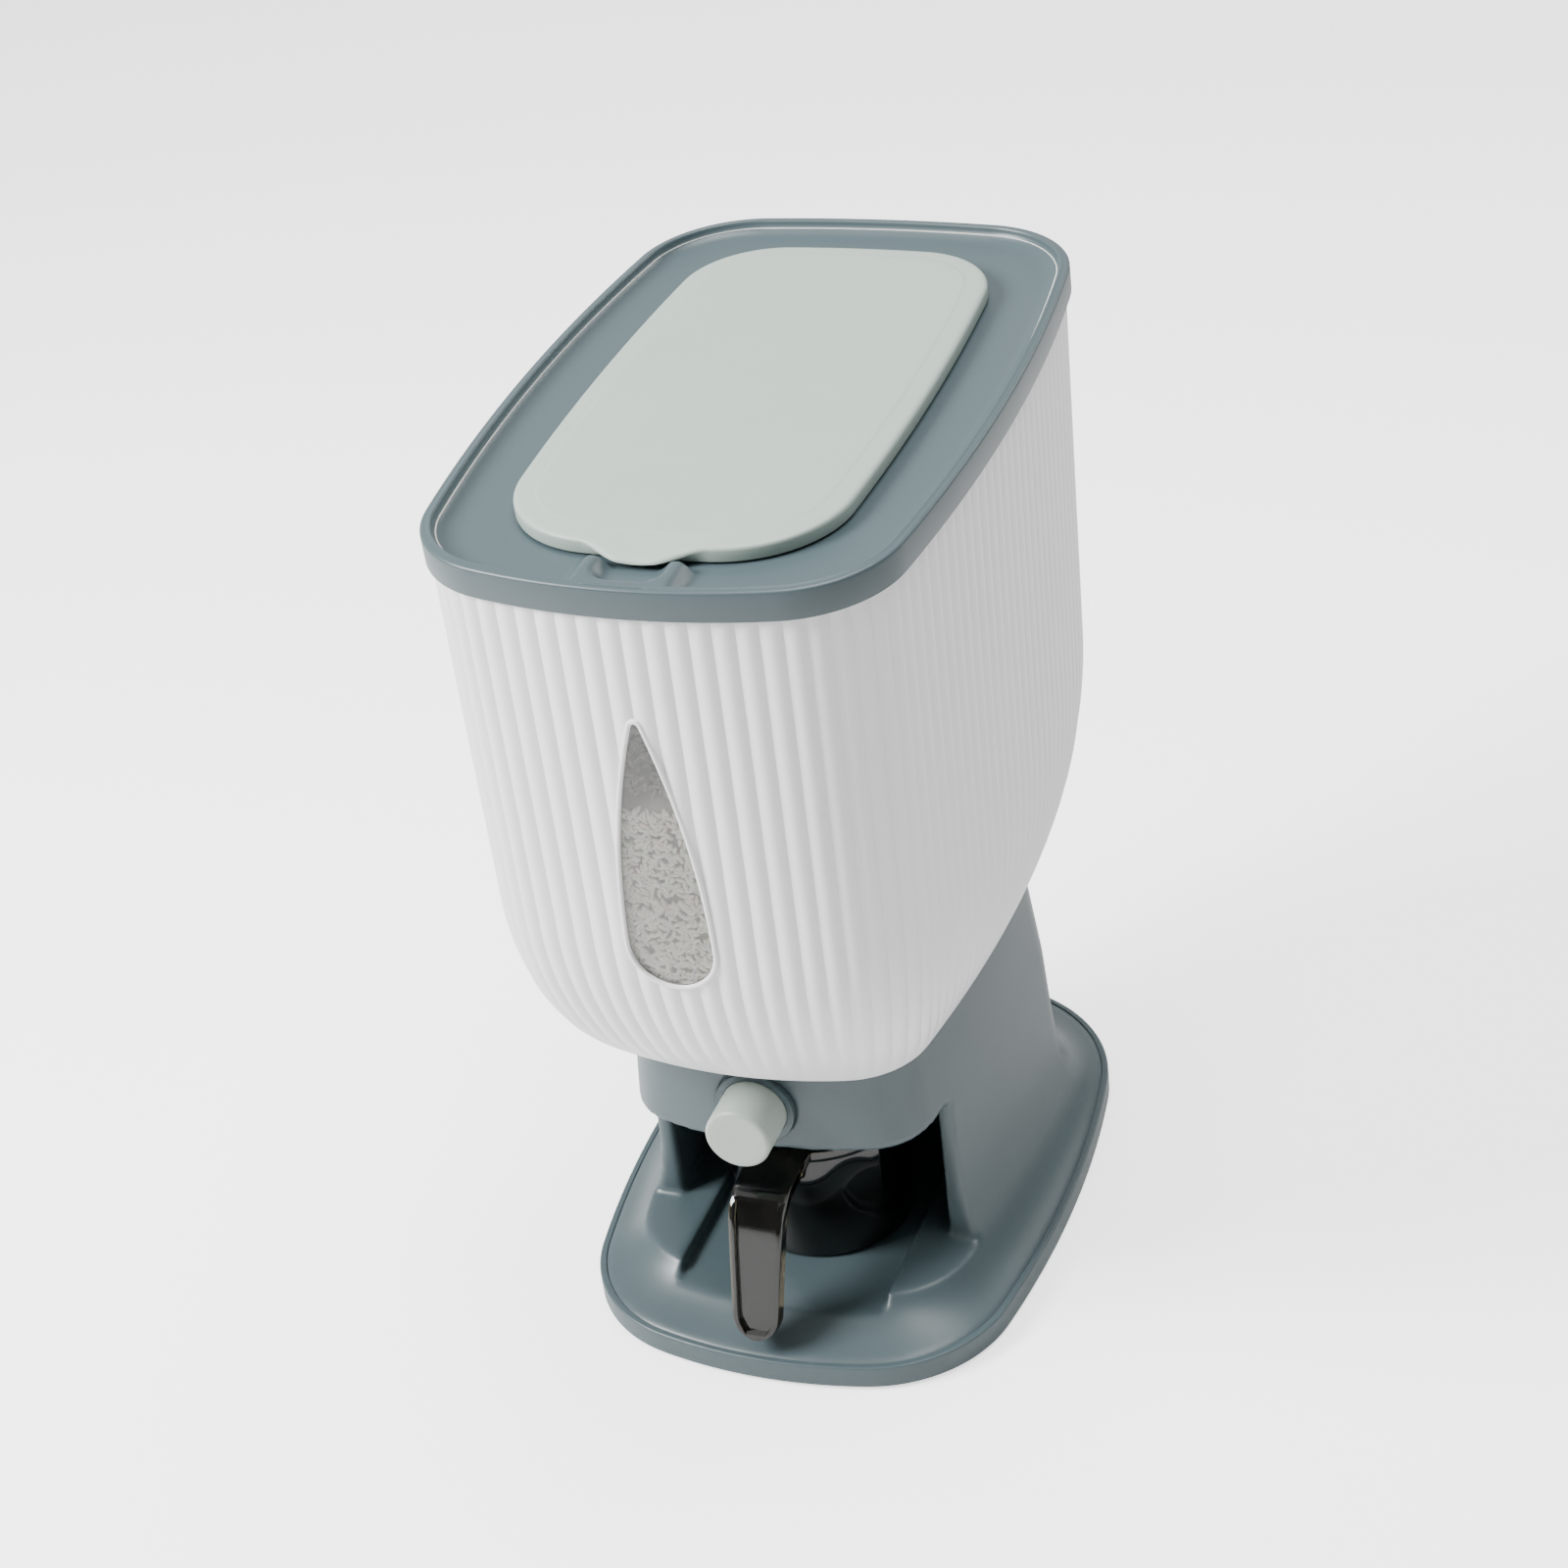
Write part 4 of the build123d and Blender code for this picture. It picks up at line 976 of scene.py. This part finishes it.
class DISPENSER_OT_stand(bpy.types.Operator):
    """Build the stand as one moulding with softly rounded edges"""

    bl_idname = "dispenser.stand"
    bl_label = "Stand"

    points_round = 360
    quick_voxel_factor = 2.0

    def execute(self, context):
        sizes = context.scene.dispenser_stand
        ledge = sizes.ledge / MM
        stand = mesh_from("stand", *stitched(self.body_rings(ledge)))
        cut(stand, self.hollows())
        remesh = stand.modifiers.new("Remesh", "REMESH")
        remesh.mode = "VOXEL"
        remesh.voxel_size = sizes.voxel * 1.0
        remesh.use_smooth_shade = True
        soften = stand.modifiers.new("Soften", "SMOOTH")
        soften.factor = 0.5
        soften.iterations = sizes.rounding
        bake_modifiers(stand)
        face_outwards(stand.data)
        stand.data.shade_smooth()
        band = self.base_band(ledge)
        shade_smooth(band, 40.0)
        stand = joined("stand_body", [stand, band])
        finish_piece(stand, "blue_grey_plastic", "housing", "stand_shell")
        return {"FINISHED"}

    def body_rings(self, ledge):
        """Rings up the stand: the base inside its band, the flare and the column."""
        skin, foot, column_rings, crowding, first_rise = 0.9, 2.4, 40, 1.7, 0.2
        base = [(skin, foot), (skin, RIM_HEIGHT - 2.0), (ledge - 0.4, RIM_HEIGHT - 1.4)]
        rings = [level_ring(BASE.inset(inset), z, self.points_round) for inset, z in base]
        heights = RIM_HEIGHT + np.linspace(0, 1, column_rings) ** crowding * (SEAT - RIM_HEIGHT)
        heights[0] += first_rise
        return rings + [level_ring(stand_outline(z, ledge), z, self.points_round) for z in heights]

    def base_band(self, ledge):
        """The base's upright rim as an exact ring, with a crisp ledge where the flare begins."""
        count = 720
        foot, chamfer, radius = 1.5, 0.3, 0.9
        stations = [(chamfer, foot), (0.0, foot + chamfer), (0.0, RIM_HEIGHT - radius)]
        for turn in np.linspace(0.0, math.pi / 2, 6)[1:]:
            stations.append((radius * (1 - math.cos(turn)),
                             RIM_HEIGHT - radius + radius * math.sin(turn)))
        stations += [(ledge, RIM_HEIGHT), (ledge, foot)]
        rings = [level_ring(BASE.inset(inset), z, count) for inset, z in stations]
        return mesh_from("band", *stitched(rings, round_the_profile=True))

    def hollows(self):
        """Closed tools for the bay, the open front, the channel, the mechanism and the underside."""
        before, beside, overlap, knob_play, chute_play, wall, plate = -150, 130, 2, 2.0, 2.1, 2.6, 4.0
        bay_front, knob_front, knob_back, chute_low, chute_high = -130.0, -110.0, -60.0, 95.0, 150.0
        bay = self.bay_outline(BAY_HALF, bay_front)
        channel = self.bay_outline(CHANNEL_HALF, CHANNEL_FRONT)
        front = [(-beside, before), (beside, before), (beside, BAY_FRONT), (-beside, BAY_FRONT)]
        radius = KNOB_RADIUS + knob_play
        knob_hole = [(radius * math.cos(a), KNOB_Z + radius * math.sin(a))
                     for a in np.linspace(0, 2 * math.pi, 64)[:-1]]
        half_x, half_y = OUTLET_HALF + chute_play, OUTLET_HALF_LENGTH + chute_play
        near, far = OUTLET_Y - half_y, OUTLET_Y + half_y
        slot = [(-half_x, near), (half_x, near), (half_x, far), (-half_x, far)]
        works_low, works_high = (-47, -82, 103.5), (47, 30, 138.0)
        return [
            prism("bay", bay, "Z", LEDGE, CEILING),
            prism("channel", channel, "Z", CHANNEL_FLOOR, LEDGE + overlap),
            prism("front gap", front, "Z", LEDGE, CEILING),
            prism("knob hole", knob_hole, "Y", knob_front, knob_back),
            box_piece("works", works_low, works_high),
            prism("chute hole", slot, "Z", chute_low, chute_high),
            prism("underside", BASE.inset(wall).points(self.points_round), "Z", 0.0, plate),
        ]

    def bay_outline(self, half, front_y):
        """A bay seen from above: straight sides and two rounded corners at the back."""
        points = [(-half, front_y), (half, front_y)]
        for side, start in ((1, 0.0), (-1, math.pi / 2)):
            for a in np.linspace(start, start + math.pi / 2, 14):
                points.append((side * (half - BAY_CORNER) + BAY_CORNER * math.cos(a),
                               BAY_BACK - BAY_CORNER + BAY_CORNER * math.sin(a)))
        return points


class DISPENSER_OT_knob(bpy.types.Operator):
    """Build the push knob"""

    bl_idname = "dispenser.knob"
    bl_label = "Knob"

    def execute(self, context):
        rounding, chamfer, skirt_inside, face_back = 1.9, 0.3, 11.6, 3.4
        boss_radius, boss_length, bore_radius, bore_floor = 6.5, 14.4, 4.05, 6.0
        edge = [(KNOB_RADIUS - rounding + rounding * math.sin(turn),
                 KNOB_FRONT + rounding - rounding * math.cos(turn))
                for turn in np.linspace(0, math.pi / 2, 9)]
        profile = [(0.0, KNOB_FRONT), (3.0, KNOB_FRONT), (9.0, KNOB_FRONT)] + edge
        profile += [(KNOB_RADIUS, KNOB_BACK - chamfer), (KNOB_RADIUS - chamfer, KNOB_BACK),
                    (skirt_inside + chamfer, KNOB_BACK), (skirt_inside, KNOB_BACK - chamfer),
                    (skirt_inside, KNOB_FRONT + face_back), (boss_radius, KNOB_FRONT + face_back),
                    (boss_radius, KNOB_FRONT + boss_length), (bore_radius, KNOB_FRONT + boss_length),
                    (bore_radius, KNOB_FRONT + bore_floor), (0.0, KNOB_FRONT + bore_floor)]
        knob = turned("knob", profile, (0, 0, KNOB_Z), "Y")
        shade_smooth(knob, 40.0)
        finish_piece(knob, "pale_knob_plastic", "push_gate", "push_knob")
        return {"FINISHED"}


def coil_group():
    """Geometry nodes that sweep a round wire along a coil, with its axis turned to Y."""
    tree, given, names = geometry_group("Coil", {
        "Turns": "Float", "Radius": "Float", "Wire radius": "Float", "Length": "Float",
        "Start": "Vector", "Material": "Material"})
    spiral = tree.add("GeometryNodeCurveSpiral", {
        "Resolution": 48, "Rotations": given["Turns"], "Start Radius": given["Radius"],
        "End Radius": given["Radius"], "Height": given["Length"]})
    wire = tree.add("GeometryNodeCurvePrimitiveCircle", {"Resolution": 16,
                                                         "Radius": given["Wire radius"]}, mode="RADIUS")
    swept = tree.add("GeometryNodeCurveToMesh", {
        "Curve": spiral.outputs[0], "Profile Curve": wire.outputs[0], "Fill Caps": True})
    placed = tree.add("GeometryNodeTransform", {
        "Geometry": swept.outputs[0], "Translation": given["Start"],
        "Rotation": (-math.pi / 2, 0.0, 0.0)})
    end_group(tree, placed.outputs[0], given["Material"])
    return tree.tree, names


class DISPENSER_OT_spring(bpy.types.Operator):
    """Build the return spring as a coil of fixed length; the real spring shortens as the knob goes in
    """

    bl_idname = "dispenser.spring"
    bl_label = "Return spring"

    def execute(self, context):
        low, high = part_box("return_spring")
        wire, turns = 0.6 * MM, 6.0
        spring = new_object("coil", bpy.data.meshes.new("coil"))
        run_group(spring, *coil_group(), {
            "Turns": turns, "Radius": (high[0] - low[0]) / 2 - wire, "Wire radius": wire,
            "Length": high[1] - low[1] - 2 * wire, "Start": (0.0, low[1] + wire, KNOB_Z * MM),
            "Material": finishes["spring_steel"]})
        face_outwards(spring.data)
        shade_smooth(spring, 50.0)
        finish_piece(spring, "spring_steel", "housing", "return_spring")
        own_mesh(spring)
        return {"FINISHED"}


class DISPENSER_OT_cup(bpy.types.Operator):
    """Build the measuring cup with its hanging handle"""

    bl_idname = "dispenser.cup"
    bl_label = "Measuring cup"

    # The handle's middle line from the rim down, as (y, z) pairs
    handle_route = ((-74.2, 80.4), (-84.0, 80.6), (-95.0, 80.6), (-101.0, 80.2), (-105.0, 78.6),
                    (-108.0, 75.6), (-110.0, 71.5), (-113.2, 62.0), (-117.6, 48.0), (-121.4, 35.6),
                    (-122.7, 31.2), (-123.4, 28.9), (-124.0, 26.8), (-124.6, 24.9), (-125.0, 23.3),
                    (-125.4, 22.1), (-125.6, 21.3), (-125.7, 20.9))

    def execute(self, context):
        sizes = context.scene.dispenser_cup
        outside = [(0.0, CUP_BOTTOM + 0.6), (30.0, CUP_BOTTOM + 0.6), (35.0, CUP_BOTTOM + 0.5),
                   (35.8, CUP_BOTTOM), (37.2, CUP_BOTTOM), (38.7, CUP_BOTTOM + 0.7),
                   (39.5, CUP_BOTTOM + 2.2), (40.4, CUP_BOTTOM + 25), (41.6, CUP_TOP - 6.0)]
        bead = [(42.9, CUP_TOP - 5.4), (43.2, CUP_TOP - 4.6), (43.2, CUP_TOP - 0.9),
                (42.9, CUP_TOP - 0.3), (42.2, CUP_TOP), (40.9, CUP_TOP), (40.3, CUP_TOP - 0.4)]
        inside = [(40.0, CUP_TOP - 1.5), (39.2, CUP_BOTTOM + 30), (37.9, CUP_BOTTOM + 8),
                  (36.6, CUP_BOTTOM + 4.0), (33.0, CUP_BOTTOM + 2.6), (0.0, CUP_BOTTOM + 2.4)]
        bowl = turned("bowl", outside + bead + inside, (0, OUTLET_Y, 0), "Z")
        piece = joined("cup", [bowl, self.make_handle(sizes)])
        shade_smooth(piece, 35.0)
        finish_piece(piece, "smoky_clear", "cup", "measuring_cup")
        return {"FINISHED"}

    def make_handle(self, sizes):
        """The handle: an arm from the rim, bent down into a leaning grip with a channel in its face."""
        rail, hollow = sizes.handle_rail / MM, sizes.handle_hollow / MM
        top_half, narrowing, arm_thick, grip_thick, arm_steps = 12.5, 2.5, 2.6, 3.4, 4
        round_start, round_length, foot = 31.2, 10.4, 21.0
        route = np.array(self.handle_route)
        tangent = np.gradient(route, axis=0)
        tangent /= np.linalg.norm(tangent, axis=1)[:, None]
        outward = np.column_stack([tangent[:, 1], -tangent[:, 0]])
        rings = []
        for k, ((y, z), (oy, oz)) in enumerate(zip(route, outward)):
            share = (CUP_TOP - z) / (CUP_TOP - foot)
            half = top_half - narrowing * share
            end = max(0.0, (round_start - z) / round_length)
            half *= math.sqrt(max(1.0 - min(end, 0.995) ** 2, 0.01))
            thick = grip_thick if k > arm_steps else arm_thick
            sink = hollow if arm_steps < k < len(route) - arm_steps else 0.0
            rings.append(np.array([(across, y + oy * out, z + oz * out)
                                   for across, out in self.section(half, thick, rail, sink)]))
        return mesh_from("handle", *stitched(rings))

    def section(self, half, thick, rail, sink):
        """The handle's cross-section as (across, outward) pairs, with rails and a sunken face."""
        narrowest, rounding, back_chamfer, slope = 0.4, 0.9, 0.6, 0.5
        edge = min(rail, half * narrowest)
        side = [(half, -thick + back_chamfer), (half, thick - rounding), (half - 0.3, thick - 0.3),
                (half - rounding, thick), (half - edge + slope, thick), (half - edge, thick - sink)]
        back = [(half - back_chamfer, -thick), (-half + back_chamfer, -thick)]
        return [(-across, out) for across, out in side] + side[::-1] + back


def grain_group(name):
    """Geometry nodes that strew seeded rice grains over a surface."""
    tree, given, names = geometry_group(name, {"Density": "Float", "Length": "Float", "Width": "Float",
                                               "Seed": "Int", "Material": "Material"})
    seed = given["Seed"]
    spread = tree.add("GeometryNodeDistributePointsOnFaces", {
        "Mesh": given["Geometry"], "Density": given["Density"], "Seed": seed},
        distribute_method="RANDOM")
    ball = tree.add("GeometryNodeMeshUVSphere", {"Segments": 6, "Rings": 4, "Radius": 0.5})
    size = tree.add("ShaderNodeCombineXYZ", {"X": given["Width"], "Y": given["Width"],
                                             "Z": given["Length"]})
    lean_low, lean_high, roll, full_turn = math.radians(58), math.radians(122), 0.3, 6.283
    lie = tree.add("FunctionNodeRandomValue", {
        0: (lean_low, -roll, 0.0), 1: (lean_high, roll, full_turn), "Seed": seed},
        data_type="FLOAT_VECTOR")
    smallest, largest = 0.85, 1.15
    growth = tree.add("FunctionNodeRandomValue", {2: smallest, 3: largest, "Seed": seed},
                      data_type="FLOAT")
    scale = tree.add("ShaderNodeVectorMath", {0: size.outputs[0], "Scale": growth.outputs[1]},
                     operation="SCALE")
    turn = tree.add("FunctionNodeRotateRotation", {"Rotation": spread.outputs["Rotation"],
                                                   "Rotate By": lie.outputs[0]}, rotation_space="LOCAL")
    placed = tree.add("GeometryNodeInstanceOnPoints", {
        "Points": spread.outputs["Points"], "Instance": ball.outputs["Mesh"],
        "Rotation": turn.outputs[0], "Scale": scale.outputs[0]})
    end_group(tree, placed.outputs[0], given["Material"])
    return tree.tree, names


class DISPENSER_OT_rice(bpy.types.Operator):
    """Fill the hopper with rice"""

    bl_idname = "dispenser.rice"
    bl_label = "Rice"

    def execute(self, context):
        sizes = context.scene.dispenser_rice
        level = sizes.level / MM
        edge = self.make_bulk(level)
        heap = [self.heaped(edge * (share, share, 1.0), level)
                for share in (0.96, 0.75, 0.5, 0.25, 0.02)]
        points, faces = stitched(heap, capped=False)
        self.strew("rice_heap", points, faces, sizes, sizes.heap_grains)
        self.strew("rice_at_pane", *self.pane_sheet(level), sizes, sizes.pane_grains)
        return {"FINISHED"}

    def make_bulk(self, level):
        """The closed body of rice under the grains, coloured darker as painted shade between them.
        Gives the ring round its surface.
        """
        count = 200
        inset = 6.2
        heights = (208.0, 216.0, 226.0, 236.0, BULB, 262.0, 282.0)
        rings = [level_ring(hopper_outline(z).inset(inset), z, count) for z in heights]
        edge = level_ring(hopper_outline(level).inset(inset), level, count)
        for share in (1.0, 0.9, 0.75, 0.6, 0.45, 0.3, 0.15, 0.04):
            rings.append(self.heaped(edge * (share, share, 1.0), level))
        bulk = mesh_from("rice_bulk", *stitched(rings))
        bulk.data.shade_smooth()
        # The bulk wears the half-bright rice: painted shade, so the gaps between the grains read dark.
        finish_piece(bulk, "natural_plastic", "housing", material="deep_rice")
        return edge

    def pane_sheet(self, level):
        """Points and faces of a sheet just behind the pane, from under the window to the surface."""
        columns, rows, half, low, inset = 9, 12, 21, 212.0, 4.1
        points = np.array([(x, front_wall_y(x, z, inset), z)
                           for z in np.linspace(low, level - 1.0, rows)
                           for x in np.linspace(-half, half, columns)])
        faces = []
        for row in range(rows - 1):
            for column in range(columns - 1):
                corner = row * columns + column
                faces.append((corner, corner + 1, corner + columns + 1, corner + columns))
        return points, faces

    def heaped(self, ring, level):
        """Raises a ring of the rice's surface into a low heap with soft dips."""
        ring = ring.copy()
        x, y = ring[:, 0], ring[:, 1]
        heap, heap_x, heap_y, settled = 5.0, 60.0, 95.0, 0.35
        dip, dip_x, dip_y, shift = 1.6, 19.0, 23.0, 1.0
        rise = heap * np.cos(x / heap_x) * np.cos(y / heap_y)
        wave = dip * np.sin(x / dip_x + shift) * np.sin(y / dip_y)
        ring[:, 2] = level + rise + wave
        ring[:, 2] -= settled
        return ring

    def strew(self, name, points, faces, sizes, density):
        """Strews grains over a surface as one piece of the hopper's body."""
        mesh = bpy.data.meshes.new(name)
        mesh.from_pydata((np.asarray(points) * MM).tolist(), [], faces)
        piece = new_object(name, mesh)
        run_group(piece, *grain_group(name), {
            "Density": float(density), "Length": sizes.grain_length, "Width": sizes.grain_width,
            "Seed": sizes.seed, "Material": finishes["rice"]})
        piece.data.shade_smooth()
        finish_piece(piece, "natural_plastic", "housing", material="rice")


class DISPENSER_OT_stage(bpy.types.Operator):
    """Set the pale floor, the soft lights and the camera"""

    bl_idname = "dispenser.stage"
    bl_label = "Stage"

    # Name, place in metres, width in metres and watts
    lights = (
        ("Key", (-1.3, -0.9, 1.5), 0.8, 98.0),
        ("Fill", (1.2, -1.5, 0.8), 1.4, 1.3),
        ("Side", (0.75, 1.3, 1.1), 0.4, 4.5),
        ("Top", (0.25, 0.0, 1.9), 1.0, 36.0),
    )

    def execute(self, context):
        self.make_floor(context.scene.dispenser_finish.floor)
        self.make_world(context.scene)
        target = Vector((0.0, 0.0, 0.2))
        for name, place, size, watts in self.lights:
            self.area_light(name, place, target, size, watts)
        self.make_camera(context.scene)
        return {"FINISHED"}

    def make_world(self, scene):
        """A white room, bright where the camera sees it and lighter behind the object."""
        towards_back = (-0.45, 0.85, 0.0)
        seen_strength, front_strength, back_strength = 2.6, 0.2, 0.85
        world = bpy.data.worlds.new("Studio")
        world.use_nodes = True
        background = world.node_tree.nodes["Background"]
        tree = Tree(world.node_tree)
        direction = tree.add("ShaderNodeTexCoord").outputs["Generated"]
        behind = tree.add("ShaderNodeVectorMath", {0: direction, 1: towards_back},
                          operation="DOT_PRODUCT").outputs["Value"]
        room = tree.add("ShaderNodeMapRange", {"Value": behind, "From Min": -0.3, "From Max": 0.9,
                                               "To Min": front_strength, "To Max": back_strength},
                        interpolation_type="SMOOTHSTEP").outputs["Result"]
        seen = tree.add("ShaderNodeLightPath").outputs["Is Camera Ray"]
        plain = tree.maths("MULTIPLY", seen, seen_strength)
        tree.fill(background, {"Color": (1.0, 1.0, 1.0, 1.0),
                               "Strength": tree.maths("MAXIMUM", plain, room)})
        scene.world = world

    def make_camera(self, scene):
        """The camera that was fitted to the photo."""
        camera = bpy.data.cameras.new("Camera")
        camera.sensor_width = 36.0
        camera.lens = 67.16
        viewer = bpy.data.objects.new("Camera", camera)
        scene.collection.objects.link(viewer)
        right = Vector((0.9362, 0.3348, -0.1074))
        up = Vector((-0.0934, 0.5314, 0.8420))
        back = Vector((0.3390, -0.7782, 0.5287))
        turn = Matrix((right, up, back)).transposed().to_4x4()
        viewer.matrix_world = Matrix.Translation((0.4047, -0.9543, 0.8646)) @ turn
        camera.clip_start, camera.clip_end = 0.05, 20.0
        scene.camera = viewer

    def make_floor(self, rgb):
        """The satin floor under the object, which glows a little for the camera only."""
        half, glow = 6.0, 1.85
        corners = [(-half, -half, 0.0), (half, -half, 0.0), (half, half, 0.0), (-half, half, 0.0)]
        mesh = bpy.data.meshes.new("floor")
        mesh.from_pydata(corners, [], [(0, 1, 2, 3)])
        floor = new_object("floor", mesh)
        material, tree, shader, coords = new_material("Painted board")
        cloud_mm = 300.0
        seen = tree.add("ShaderNodeLightPath").outputs["Is Camera Ray"]
        tree.fill(shader, {
            "Base Color": four(rgb),
            "Roughness": tree.between(tree.noise(coords, cloud_mm), 0.55, 0.65),
            "Emission Strength": tree.maths("MULTIPLY", seen, glow),
            "Emission Color": four(rgb),
        })
        mesh.materials.append(material)

    def area_light(self, name, place, target, size, watts):
        """A soft square light that looks at the object."""
        light = bpy.data.lights.new(name, "AREA")
        light.size = size
        light.energy = watts
        lamp = bpy.data.objects.new(name, light)
        lamp.location = place
        lamp.rotation_euler = (target - Vector(place)).to_track_quat("-Z", "Y").to_euler()
        bpy.context.scene.collection.objects.link(lamp)


OPERATORS = (DISPENSER_OT_finishes, DISPENSER_OT_hopper, DISPENSER_OT_lids, DISPENSER_OT_stand,
             DISPENSER_OT_knob, DISPENSER_OT_spring, DISPENSER_OT_cup, DISPENSER_OT_rice,
             DISPENSER_OT_stage)


class DISPENSER_PT_panel(bpy.types.Panel):
    """The dispenser's operators and settings in the sidebar"""

    bl_idname = "DISPENSER_PT_panel"
    bl_label = "Rice dispenser"
    bl_space_type = "VIEW_3D"
    bl_region_type = "UI"
    bl_category = "Dispenser"

    def draw(self, context):
        for operator in OPERATORS:
            self.layout.operator(operator.bl_idname)
        for name, kind in SETTINGS.items():
            box = self.layout.box()
            settings = getattr(context.scene, name)
            for key in kind.__annotations__:
                box.prop(settings, key)


SETTINGS = {
    "dispenser_finish": FinishSettings,
    "dispenser_hopper": HopperSettings,
    "dispenser_lids": LidSettings,
    "dispenser_stand": StandSettings,
    "dispenser_cup": CupSettings,
    "dispenser_rice": RiceSettings,
}


def register():
    for kind in (*SETTINGS.values(), *OPERATORS, DISPENSER_PT_panel):
        bpy.utils.register_class(kind)
    for name, kind in SETTINGS.items():
        setattr(bpy.types.Scene, name, PointerProperty(type=kind))


def unregister():
    for name in SETTINGS:
        delattr(bpy.types.Scene, name)
    for kind in reversed((*SETTINGS.values(), *OPERATORS, DISPENSER_PT_panel)):
        bpy.utils.unregister_class(kind)


def main():
    """Build every piece in order."""
    register()
    for operator in OPERATORS:
        group, action = operator.bl_idname.split(".")
        getattr(getattr(bpy.ops, group), action)()


if __name__ == "__main__":
    main()
